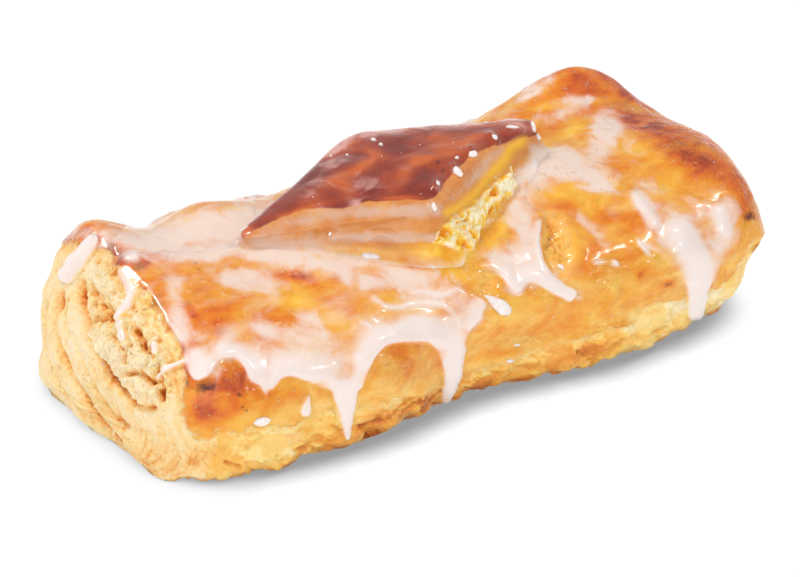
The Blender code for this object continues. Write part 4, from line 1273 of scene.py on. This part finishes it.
def make_flakes(amount):
    """Torn flakes that stand off the near end's core and lower lobes, the lozenge's torn wall and the crevice beside
    it.
    """
    skins = [skin_of("dough"), skin_of("lozenge_crust")]
    bits = Bits(7)
    for loop, share, least, most, lean in FLAKE_PLACES:
        outline = curve_through(loop, closed=True)
        low, high = np.min(loop, axis=0), np.max(loop, axis=0)
        wanted = int(amount * share)
        while wanted > 0:
            u, v = bits.random.uniform(low, high)
            if inside_by(np.array(u), np.array(v), outline) < 0:
                continue
            wanted -= 1
            hit = hit_in_frame(skins, u, v)
            if hit is None:
                continue
            size = bits.random.uniform(least, most)
            bits.lump(
                hit[0] - 0.1 * hit[1], hit[1], size, size * bits.random.uniform(0.3, 0.6), size * 0.22,
                bits.random.uniform(0, 6.3), 0.35, 8, bits.random.uniform(0.0, 0.3), bits.random.uniform(-lean, lean),
            )
    return bits.mesh("flakes")


def make_chips_and_highlight_drops():
    """Set icing chips, pale scales and white drops that paint highlights, laid on the crust at their places in the
    frame.
    """
    skins = [skin_of("dough"), skin_of("lozenge_crust"), skin_of("icing")]
    bits = Bits(11)
    for u, v, long_px, wide_px, tilt, high in CHIPS_AND_HIGHLIGHT_DROPS:
        hit = hit_in_frame(skins, u, v)
        if hit is None:
            continue
        point, normal, _ = hit
        level_way = unit(np.cross(VIEW_UP, normal))
        first, _ = frame_of(normal, 0.0)
        level = math.atan2(float(level_way @ np.cross(normal, first)), float(level_way @ first))
        turn = level - math.radians(tilt)
        bits.lump(point, normal, long_px / 2 / PX_PER_MM, wide_px / 2 / PX_PER_MM, high, turn, 0.18, 10)
    return bits.mesh("icing_chips_and_highlight_drops")


def make_sugar(amount):
    """Specks of sugar and pinprick crumbs strewn over the top and front."""
    skins = [skin_of("dough"), skin_of("lozenge_crust"), skin_of("icing")]
    bits = Bits(13)
    for _ in range(amount):
        u, v = bits.random.uniform((60, 80), (750, 440))
        hit = hit_in_frame(skins, u, v)
        if hit is None or hit[1][2] < 0.1:
            continue
        size = bits.random.uniform(0.08, 0.20)
        bits.lump(hit[0], hit[1], size, size * 0.8, size * 0.8, bits.random.uniform(0, 6.3), 0.2, 6)
    return bits.mesh("sugar_specks")


# Materials


def tint(colour):
    """A colour read on a screen, as Blender's own values."""
    shares = np.array(colour) / 255
    bright = np.where(shares <= 0.04045, shares / 12.92, ((shares + 0.055) / 1.055) ** 2.4)
    return (*bright.tolist(), 1.0)


def feed(tree, socket, value):
    """Wire a socket to another node's output, or set it."""
    if isinstance(value, bpy.types.NodeSocket):
        tree.links.new(value, socket)
    else:
        socket.default_value = value


def add(tree, kind, inputs=None, **settings):
    node = tree.nodes.new(kind)
    for key, value in settings.items():
        setattr(node, key, value)
    for key, value in (inputs or {}).items():
        feed(tree, node.inputs[key], value)
    return node


def kept(tree, name):
    """A number that the mesh keeps on its points."""
    return add(tree, "ShaderNodeAttribute", attribute_name=name).outputs["Fac"]


def sum_of(tree, a, b, operation="ADD", clamp=False):
    return add(tree, "ShaderNodeMath", {0: a, 1: b}, operation=operation, use_clamp=clamp).outputs[0]


def times(tree, a, b):
    return sum_of(tree, a, b, "MULTIPLY")


def from_to(tree, value, low, high, to_low=0.0, to_high=1.0, smooth=False):
    kind = "SMOOTHSTEP" if smooth else "LINEAR"
    inputs = {"Value": value, "From Min": low, "From Max": high, "To Min": to_low, "To Max": to_high}
    return add(tree, "ShaderNodeMapRange", inputs, interpolation_type=kind).outputs["Result"]


def between(tree, share, first, last):
    """A value that a share from 0 to 1 moves from the first to the last."""
    return from_to(tree, share, 0.0, 1.0, first, last)


def mix(tree, factor, a, b):
    return add(tree, "ShaderNodeMix", {0: factor, 6: a, 7: b}, data_type="RGBA", clamp_factor=True).outputs[2]


def ramp(tree, value, stops, as_blender=tint):
    """A colour picked by a value, from stops that have a place and a colour."""
    node = add(tree, "ShaderNodeValToRGB", {"Fac": value})
    band = node.color_ramp
    while len(band.elements) < len(stops):
        band.elements.new(0.5)
    for element, (place, colour) in zip(band.elements, stops):
        element.position = place
        element.color = as_blender(colour)
    return node.outputs["Color"]


def place(tree):
    return add(tree, "ShaderNodeTexCoord").outputs["Object"]


def speckle(tree, size_mm, detail=2.0, roughness=0.5, stretch=None, distortion=0.0):
    """Noise in the part's own place, with lumps of the given size."""
    vector = place(tree)
    if stretch:
        vector = add(tree, "ShaderNodeMapping", {"Vector": vector, "Scale": stretch}).outputs["Vector"]
    inputs = {"Vector": vector, "Scale": 1000 / size_mm, "Detail": detail, "Roughness": roughness}
    return add(tree, "ShaderNodeTexNoise", {**inputs, "Distortion": distortion}).outputs["Fac"]


def uneven(tree, reach, size_mm, *noise_settings, **more):
    """The same noise, swinging a reach to both sides of 0."""
    return from_to(tree, speckle(tree, size_mm, *noise_settings, **more), 0.3, 0.7, -reach, reach)


def roughened(tree, share, reach, size_mm, detail, low, high):
    """A share with its soft edge made sharper and uneven."""
    return from_to(tree, sum_of(tree, share, uneven(tree, reach, size_mm, detail)), low, high)


def new_group(name, inputs, outputs=("Color",)):
    """A group of shader nodes. An input is a colour where its value is one, and so is an output named Color."""
    group = bpy.data.node_groups.new(name, "ShaderNodeTree")
    for key, value in inputs.items():
        kind = "NodeSocketColor" if isinstance(value, tuple) else "NodeSocketFloat"
        group.interface.new_socket(name=key, in_out="INPUT", socket_type=kind).default_value = value
    for key in outputs:
        kind = "NodeSocketColor" if key == "Color" else "NodeSocketFloat"
        group.interface.new_socket(name=key, in_out="OUTPUT", socket_type=kind)
    return group, group.nodes.new("NodeGroupInput").outputs


def group_out(group, **values):
    end = group.nodes.new("NodeGroupOutput")
    for key, value in values.items():
        group.links.new(value, end.inputs[key])


def use_group(tree, name, inputs):
    return add(tree, "ShaderNodeGroup", inputs, node_tree=bpy.data.node_groups[name]).outputs


def fine_relief(tree, lump_size, grain_size, lump_height, grain_height):
    inputs = {"Lump size": lump_size, "Grain size": grain_size, "Lumps": lump_height, "Grains": grain_height}
    return use_group(tree, "Fine relief", inputs)["Height"]


def make_milky_film():
    """Thin icing over whatever is under it: a milky veil, thicker here and there, and in a few places painted
    highlights and sheen.
    """
    group, given = new_group("Milky film", {"Under": (1, 1, 1, 1), "Film": 0.5, "Icing": tint(FILM_COLOUR)})
    clouds = sum_of(group, uneven(group, 0.26, 6.0, 3.0, distortion=1.2), uneven(group, 0.07, 2.2))
    cover = from_to(group, sum_of(group, given["Film"], clouds), 0.18, 0.95, 0.0, 0.92, smooth=True)
    group_out(group, Color=mix(group, cover, given["Under"], given["Icing"]))


def make_soaked_dough():
    """Yellow, buttery dough under clear glaze, over whatever is under it."""
    group, given = new_group("Soaked dough", {"Under": (1, 1, 1, 1), "Soaked": 0.5})
    yellow = ramp(group, speckle(group, 4.0, 3.0), YELLOW_STOPS)
    group_out(group, Color=mix(group, given["Soaked"], given["Under"], yellow))


def make_fine_relief():
    """Height of the finest unevenness, as lumps and grains."""
    inputs = {"Lump size": 2.0, "Grain size": 0.4, "Lumps": 1.0, "Grains": 0.3}
    group, given = new_group("Fine relief", inputs, ("Height",))
    heights = []
    for size, strength, detail in (("Lump size", "Lumps", 3.0), ("Grain size", "Grains", 2.0)):
        scale = sum_of(group, 1000.0, given[size], "DIVIDE")
        inputs = {"Vector": place(group), "Scale": scale, "Detail": detail, "Roughness": 0.55}
        value = add(group, "ShaderNodeTexNoise", inputs).outputs["Fac"]
        heights.append(times(group, value, given[strength]))
    group_out(group, Height=sum_of(group, *heights))


def mottled(group, given, value, broad, small):
    """A value with the group's mottling on it, at two sizes."""
    return sum_of(group, value, times(group, sum_of(group, broad, small), given["Mottling"]), clamp=True)


def make_baked_crust():
    """Dough from pale to red-brown by how long it has baked, mottled at two sizes."""
    group, given = new_group("Baked crust", {"Baked": 0.5, "Mottling": 1.0})
    broad = uneven(group, 0.20, 7.0, 4.0, 0.6, stretch=(0.6, 1.0, 1.0), distortion=1.0)
    small = uneven(group, 0.08, 1.8, 3.0, 0.65, stretch=(0.5, 1.0, 1.0))
    group_out(group, Color=ramp(group, mottled(group, given, given["Baked"], broad, small), BAKED_STOPS))


def make_flaky_dough():
    """Torn and layered dough with buttery yellow parts: golden hollows and pale edges, part its tone, part painted
    shade and light.
    """
    group, given = new_group("Flaky dough", {"Raised": 0.5, "Buttery": 0.0, "Mottling": 1.0})
    fine, broad = uneven(group, 0.16, 0.9, 3.0, 0.6), uneven(group, 0.10, 6.0)
    raised = mottled(group, given, given["Raised"], fine, broad)
    beige, butter = ramp(group, raised, BEIGE_STOPS), ramp(group, raised, BUTTER_STOPS)
    group_out(group, Color=mix(group, given["Buttery"], beige, butter))


def make_dough_look():
    """The dough's colour, with the numbers that its shine and fine relief need."""
    inputs = {name: 0.0 for name in DOUGH_NUMBERS}
    tree, given = new_group("Dough look", inputs, ("Color", "Char", "Dry", "Lines", "Pores"))
    crust = use_group(tree, "Baked crust", {"Baked": given["Baked"], "Mottling": 1.0})["Color"]
    crust = use_group(tree, "Soaked dough", {"Under": crust, "Soaked": given["Yellowed"]})["Color"]

    # Fine lines along the layers of the ends: their noise is close across the layers and drawn out along them.
    sides = add(tree, "ShaderNodeSeparateXYZ", {"Vector": place(tree)}).outputs
    along = {axis: times(tree, sides[axis], LAYER_DRAWN_OUT) for axis in ("Y", "Z")}
    vector = add(tree, "ShaderNodeCombineXYZ", {"X": times(tree, given["Layer"], MM), **along}).outputs[0]
    inputs = {"Vector": vector, "Scale": 1100.0, "Detail": 3.0, "Roughness": 0.6}
    lines = add(tree, "ShaderNodeTexNoise", inputs).outputs["Fac"]

    turned = {"Vector": place(tree), "Rotation": (0.88, 0, 0), "Scale": (1.0, 1.0, 0.55)}
    cells = {"Vector": add(tree, "ShaderNodeMapping", turned).outputs[0], "Scale": 900.0, "Randomness": 1.0}
    walls = add(tree, "ShaderNodeTexVoronoi", cells, feature="DISTANCE_TO_EDGE").outputs["Distance"]
    holes = times(tree, from_to(tree, walls, 0.06, 0.32), from_to(tree, speckle(tree, 1.6), 0.42, 0.60))
    pores = times(tree, holes, given["Porous"])
    ends = between(tree, given["Low"], 1.0, 0.0)
    drawn = times(tree, from_to(tree, lines, 0.3, 0.7, -0.13, 0.13), ends)
    # Drawn lines and pores darken the flaky dough; the pores' darkening is painted shade in the holes.
    raised = sum_of(tree, given["Raised"], sum_of(tree, drawn, times(tree, pores, 0.14), "SUBTRACT"))
    inputs = {"Raised": raised, "Buttery": given["Buttery"], "Mottling": between(tree, given["Low"], 1.0, 0.35)}
    torn = use_group(tree, "Flaky dough", inputs)["Color"]
    crust = mix(tree, given["Torn"], crust, torn)
    film = use_group(tree, "Milky film", {"Under": crust, "Film": given["Milky"]})["Color"]
    flaky = roughened(tree, given["Flaky"], 0.4, 1.6, 4.0, 0.25, 0.75)
    char = roughened(tree, given["Charred"], 0.2, 0.8, 2.0, 0.15, 0.95)
    colour = mix(tree, char, mix(tree, flaky, film, torn), tint(CHAR_COLOUR))
    group_out(tree, Color=colour, Char=char, Dry=times(tree, flaky, ends), Lines=lines, Pores=pores)


def new_material(name, **values):
    material = bpy.data.materials.new(name)
    material.use_nodes = True
    shader = material.node_tree.nodes["Principled BSDF"]
    for key, value in values.items():
        shader.inputs[key.replace("_", " ").title().replace("Ior", "IOR")].default_value = value
    return material, material.node_tree, shader


def wire(tree, shader, **sockets):
    for key, value in sockets.items():
        tree.links.new(value, shader.inputs[key.replace("_", " ").title()])


def bump(tree, height, distance_mm):
    return add(tree, "ShaderNodeBump", {"Height": height, "Distance": distance_mm * MM}).outputs["Normal"]


def dough_look(tree):
    return use_group(tree, "Dough look", {name: kept(tree, name.lower()) for name in DOUGH_NUMBERS})


def dough_material():
    material, tree, shader = new_material(
        "Baked puff pastry", subsurface_weight=0.28, subsurface_scale=1.6 * MM,
        subsurface_radius=(1.0, 0.55, 0.25), coat_roughness=0.13, specular_ior_level=0.25,
    )
    look = dough_look(tree)
    coat = times(tree, between(tree, look["Dry"], 0.5, 0.02), between(tree, kept(tree, "low"), 1.0, 0.6))
    coat = times(tree, coat, between(tree, look["Char"], 1.0, 0.1))
    rougher = between(tree, kept(tree, "rough"), between(tree, look["Dry"], 0.35, 0.9), 2.0)
    height = times(tree, fine_relief(tree, 1.8, 0.6, 1.0, 0.7), rougher)
    torn = sum_of(tree, times(tree, look["Lines"], look["Dry"]), times(tree, look["Pores"], 0.45), "SUBTRACT")
    relief = bump(tree, sum_of(tree, height, torn), 0.5)
    dull = between(tree, look["Dry"], 0.36, 0.72)
    wire(tree, shader, base_color=look["Color"], roughness=dull, coat_weight=coat, normal=relief)
    return material


def lozenge_material():
    material, tree, shader = new_material(
        "Dark glazed dough", subsurface_weight=0.10, subsurface_scale=1.2 * MM,
        subsurface_radius=(1.0, 0.4, 0.2), coat_roughness=0.06, specular_ior_level=0.25,
    )
    blend = kept(tree, "blend")
    mottle = speckle(tree, 8.0, 3.0, stretch=(0.7, 1.0, 1.0), distortion=0.5)
    dark = ramp(tree, sum_of(tree, mottle, between(tree, kept(tree, "amber"), -0.06, 0.34)), DARK_STOPS)
    crust = use_group(tree, "Baked crust", {"Baked": 0.47, "Mottling": 1.0})["Color"]
    wall = mix(tree, blend, ramp(tree, speckle(tree, 5.0, 3.0), WALL_STOPS), crust)
    torn = ramp(tree, sum_of(tree, kept(tree, "raised"), uneven(tree, 0.22, 2.4, 3.0)), TORN_STOPS)
    dark_share = roughened(tree, kept(tree, "dark"), 0.12, 1.5, 2.0, 0.25, 0.75)
    colour = mix(tree, dark_share, wall, dark)
    colour = use_group(tree, "Soaked dough", {"Under": colour, "Soaked": kept(tree, "yellowed")})["Color"]
    icing = mix(tree, dark_share, mix(tree, blend, tint(WALL_ICING), tint(CRUST_ICING)), tint(DARK_ICING))
    film = use_group(tree, "Milky film", {"Under": colour, "Film": kept(tree, "milky"), "Icing": icing})
    torn_share = roughened(tree, kept(tree, "torn"), 0.15, 1.1, 2.0, 0.3, 0.7)
    colour = mix(tree, torn_share, film["Color"], torn)
    colour = mix(tree, kept(tree, "crack"), colour, tint(CRACK_COLOUR))
    colour = mix(tree, times(tree, kept(tree, "streak"), 0.6), colour, tint(STREAK_COLOUR))
    colour = mix(tree, kept(tree, "charred"), colour, tint(SPECK_COLOUR))
    dull, coat = between(tree, torn_share, 0.28, 0.7), between(tree, torn_share, 0.55, 0.4)
    relief = bump(tree, fine_relief(tree, 2.2, 0.5, 0.6, 0.12), 0.4)
    wire(tree, shader, base_color=colour, roughness=dull, coat_weight=coat, normal=relief)
    return material


def icing_material():
    material, tree, shader = new_material(
        "Sugar icing", subsurface_weight=0.25, subsurface_scale=1.2 * MM, subsurface_radius=(1.0, 0.7, 0.6),
        roughness=0.24, coat_weight=0.5, coat_roughness=0.09, specular_ior_level=0.35,
    )
    thick = sum_of(tree, kept(tree, "thick"), uneven(tree, 0.16, 4.0, 3.0, stretch=(0.45, 1.0, 1.0)))
    body = from_to(tree, thick, 0.16, 0.80, 0.0, 0.97, smooth=True)
    colour = mix(tree, body, dough_look(tree)["Color"], ramp(tree, thick, ICING_STOPS))
    fine = times(tree, fine_relief(tree, 3.0, 0.6, 0.5, 0.08), between(tree, kept(tree, "rough"), 1.0, 3.0))
    wire(tree, shader, base_color=colour, normal=bump(tree, fine, 0.25))
    return material


def flake_material():
    material, tree, shader = new_material(
        "Pastry flakes", subsurface_weight=0.15, subsurface_scale=1.0 * MM, subsurface_radius=(1.0, 0.7, 0.4),
        roughness=0.6,
    )
    inputs = {"Raised": kept(tree, "raised"), "Buttery": kept(tree, "buttery"), "Mottling": 1.0}
    colour = use_group(tree, "Flaky dough", inputs)["Color"]
    wire(tree, shader, base_color=colour, normal=bump(tree, fine_relief(tree, 0.8, 0.3, 1.0, 0.3), 0.2))
    return material


# White set icing, for the chips, the drops that paint highlights and the sugar specks.
def icing_and_highlight_material():
    material, tree, shader = new_material(
        "Set icing and painted highlights", subsurface_weight=0.3, subsurface_scale=1.0 * MM, subsurface_radius=(1.0, 0.8, 0.7),
        roughness=0.3, coat_weight=0.5,
    )
    colour = ramp(tree, speckle(tree, 1.0), ICING_AND_HIGHLIGHT_STOPS)
    wire(tree, shader, base_color=colour, normal=bump(tree, fine_relief(tree, 0.8, 0.3, 0.6, 0.2), 0.15))
    return material


def floor_material():
    """A glowing white table, with a painted soft grey shadow where something stands close above it."""
    material, tree, shader = new_material(
        "Pale table", roughness=0.8, specular_ior_level=0.0, base_color=(0, 0, 0, 1), emission_strength=1.0
    )
    open_sky = add(tree, "ShaderNodeAmbientOcclusion", {"Distance": SHADOW_REACH * MM}, samples=24).outputs["AO"]
    along = add(tree, "ShaderNodeSeparateXYZ", {"Vector": place(tree)}).outputs["X"]
    faint = sum_of(tree, *(from_to(tree, along, *fade, smooth=True) for fade in SHADOW_FADES))
    open_sky = add(tree, "ShaderNodeMix", {0: faint, 2: open_sky, 3: 1.0}).outputs[0]
    shade = sum_of(tree, open_sky, uneven(tree, 0.004, 60.0))
    wire(tree, shader, emission_color=ramp(tree, shade, SHADOW_GREYS, lambda grey: (grey, grey, grey, 1.0)))
    return material


# Stage


def area_light(name, energy, size, at):
    """A round light that shines on the middle of the part."""
    light = bpy.data.lights.new(name, "AREA")
    light.shape = "DISK"
    light.energy = energy
    light.size = size * MM
    obj = new_object(name, light)
    obj.location = Vector(at) * MM
    obj.rotation_euler = (Vector(LIT_PLACE) - Vector(at)).to_track_quat("-Z", "Y").to_euler()


def make_floor(reach):
    mesh = bpy.data.meshes.new("floor")
    half = reach * MM
    mesh.from_pydata([(-half, -half, 0), (half, -half, 0), (half, half, 0), (-half, half, 0)], [], [(0, 1, 2, 3)])
    obj = new_object("floor", mesh)
    obj.location.z = -FLOOR_DROP * MM
    return obj


def make_camera():
    camera = bpy.data.cameras.new("camera")
    camera.lens = LENS
    camera.sensor_width = SENSOR
    camera.clip_end = 20.0
    obj = new_object("camera", camera)
    obj.location = (VIEW_FROM + CENTRING) * MM
    obj.rotation_euler = Vector(VIEW_BACK).to_track_quat("Z", "Y").to_euler()
    bpy.context.scene.camera = obj


def make_world(brightness):
    world = bpy.data.worlds.new("studio")
    bpy.context.scene.world = world
    world.use_nodes = True
    tree = world.node_tree
    background = tree.nodes["Background"]
    feed(tree, background.inputs["Color"], (1, 1, 1, 1))
    looked_at = add(tree, "ShaderNodeLightPath").outputs["Is Camera Ray"]
    feed(tree, background.inputs["Strength"], between(tree, looked_at, brightness, BACKDROP))


# The add-on


class APPLEROLL_DoughSettings(bpy.types.PropertyGroup):
    rings: bpy.props.IntProperty(
        name="Rings", description="How many rings of points the dough has along the roll", default=400, min=40, max=400
    )
    points_round: bpy.props.IntProperty(
        name="Points round", description="How many points each ring of the dough has", default=244, min=40, max=400
    )
    depth: bpy.props.FloatProperty(
        name="Relief", description="How deep the folds, scales and wrinkles are, as a share of the photograph's",
        default=1.0, min=0.0, max=1.5, subtype="FACTOR",
    )


class APPLEROLL_LozengeSettings(bpy.types.PropertyGroup):
    points_round: bpy.props.IntProperty(
        name="Points round", description="How many points go round the lozenge", default=420, min=60, max=600
    )
    top_rings: bpy.props.IntProperty(
        name="Top rings", description="How many rings the dark top has", default=90, min=10, max=150
    )
    wall_rings: bpy.props.IntProperty(
        name="Wall rings", description="How many rings the wall has", default=44, min=6, max=80
    )


class APPLEROLL_IcingSettings(bpy.types.PropertyGroup):
    rings: bpy.props.IntProperty(
        name="Rings", description="How many rows of points the icing has along the roll", default=400, min=60, max=600
    )
    points_round: bpy.props.IntProperty(
        name="Points round", description="How many points each row of the icing has", default=260, min=60, max=500
    )
    thickness: bpy.props.FloatProperty(
        name="Thickness", description="How thick the icing is, as a share of the photograph's",
        default=1.0, min=0.2, max=1.5, subtype="FACTOR",
    )


class APPLEROLL_BitsSettings(bpy.types.PropertyGroup):
    flakes: bpy.props.IntProperty(
        name="Flakes", description="How many torn flakes of dough stand out", default=260, min=0, max=1500
    )
    sugar: bpy.props.IntProperty(
        name="Specks", description="How many specks of sugar lie on the roll", default=170, min=0, max=600
    )


class APPLEROLL_StageSettings(bpy.types.PropertyGroup):
    brightness: bpy.props.FloatProperty(
        name="Surroundings", description="How bright the white surroundings are", default=0.55, min=0.0, max=3.0
    )
    floor_reach: bpy.props.FloatProperty(
        name="Floor reach", description="How far the pale table reaches from the middle, in millimetres",
        default=3000.0, min=300.0, max=20000.0,
    )


class APPLEROLL_OT_materials(bpy.types.Operator):
    """Make the shader groups that the materials share"""

    bl_idname = "appleroll.materials"
    bl_label = "Make shared looks"

    def execute(self, context):
        make_milky_film()
        make_soaked_dough()
        make_fine_relief()
        make_baked_crust()
        make_flaky_dough()
        make_dough_look()
        return {"FINISHED"}


def dressed(obj, material, stands_for=None):
    """The piece with its material, riding on the part."""
    obj.data.materials.append(material)
    if stands_for:
        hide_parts(stands_for)
    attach(obj, "root")


class APPLEROLL_OT_dough(bpy.types.Operator):
    """Build the rolled dough with its glazed crust, flaky ends and foot"""

    bl_idname = "appleroll.dough"
    bl_label = "Build dough"

    def execute(self, context):
        given = context.scene.apple_roll_dough
        dressed(make_dough(given.rings, given.points_round, given.depth), dough_material(), "roll")
        return {"FINISHED"}


class APPLEROLL_OT_lozenge(bpy.types.Operator):
    """Build the dark lozenge of dough on top, with its torn wall"""

    bl_idname = "appleroll.lozenge"
    bl_label = "Build lozenge"

    def execute(self, context):
        given = context.scene.apple_roll_lozenge
        piece = make_lozenge(given.points_round, given.top_rings, given.wall_rings)
        dressed(piece, lozenge_material(), "lozenge")
        return {"FINISHED"}


class APPLEROLL_OT_icing(bpy.types.Operator):
    """Build the poured icing with its sheets, runs and drips"""

    bl_idname = "appleroll.icing"
    bl_label = "Pour icing"

    def execute(self, context):
        given = context.scene.apple_roll_icing
        dressed(make_icing(given.rings, given.points_round, given.thickness), icing_material())
        return {"FINISHED"}


class APPLEROLL_OT_bits(bpy.types.Operator):
    """Scatter the flakes, icing chips with the drops that paint highlights, and sugar specks"""

    bl_idname = "appleroll.bits"
    bl_label = "Scatter small pieces"

    def execute(self, context):
        given = context.scene.apple_roll_bits
        dressed(make_flakes(given.flakes), flake_material())
        dressed(make_chips_and_highlight_drops(), icing_and_highlight_material())
        dressed(make_sugar(given.sugar), icing_and_highlight_material())
        return {"FINISHED"}


class APPLEROLL_OT_stage(bpy.types.Operator):
    """Set the pale table, the studio lights, the surroundings and the camera"""

    bl_idname = "appleroll.stage"
    bl_label = "Set stage"

    def execute(self, context):
        given = context.scene.apple_roll_stage
        floor = make_floor(given.floor_reach)
        floor.data.materials.append(floor_material())
        make_world(given.brightness)
        for light in LIGHTS:
            area_light(*light)
        make_camera()
        context.scene.view_settings.view_transform = "Standard"
        return {"FINISHED"}


class APPLEROLL_PT_panel(bpy.types.Panel):
    bl_label = "Apple Roll"
    bl_idname = "APPLEROLL_PT_panel"
    bl_space_type = "VIEW_3D"
    bl_region_type = "UI"
    bl_category = "Apple Roll"

    def draw(self, context):
        column = self.layout.column()
        for name, settings in SETTINGS.items():
            box = column.box()
            for key in settings.__annotations__:
                box.prop(getattr(context.scene, name), key)
        for operator in OPERATORS:
            column.operator(operator.bl_idname)


SETTINGS = {
    "apple_roll_dough": APPLEROLL_DoughSettings,
    "apple_roll_lozenge": APPLEROLL_LozengeSettings,
    "apple_roll_icing": APPLEROLL_IcingSettings,
    "apple_roll_bits": APPLEROLL_BitsSettings,
    "apple_roll_stage": APPLEROLL_StageSettings,
}
OPERATORS = (
    APPLEROLL_OT_materials,
    APPLEROLL_OT_dough,
    APPLEROLL_OT_lozenge,
    APPLEROLL_OT_icing,
    APPLEROLL_OT_bits,
    APPLEROLL_OT_stage,
)


def register():
    for cls in (*SETTINGS.values(), *OPERATORS, APPLEROLL_PT_panel):
        bpy.utils.register_class(cls)
    for name, settings in SETTINGS.items():
        setattr(bpy.types.Scene, name, bpy.props.PointerProperty(type=settings))


def unregister():
    for name in SETTINGS:
        delattr(bpy.types.Scene, name)
    for cls in (APPLEROLL_PT_panel, *reversed(OPERATORS), *SETTINGS.values()):
        bpy.utils.unregister_class(cls)


def main():
    register()
    bpy.ops.appleroll.materials()
    bpy.ops.appleroll.dough()
    bpy.ops.appleroll.lozenge()
    bpy.ops.appleroll.icing()
    bpy.ops.appleroll.bits()
    bpy.ops.appleroll.stage()


if __name__ == "__main__":
    main()
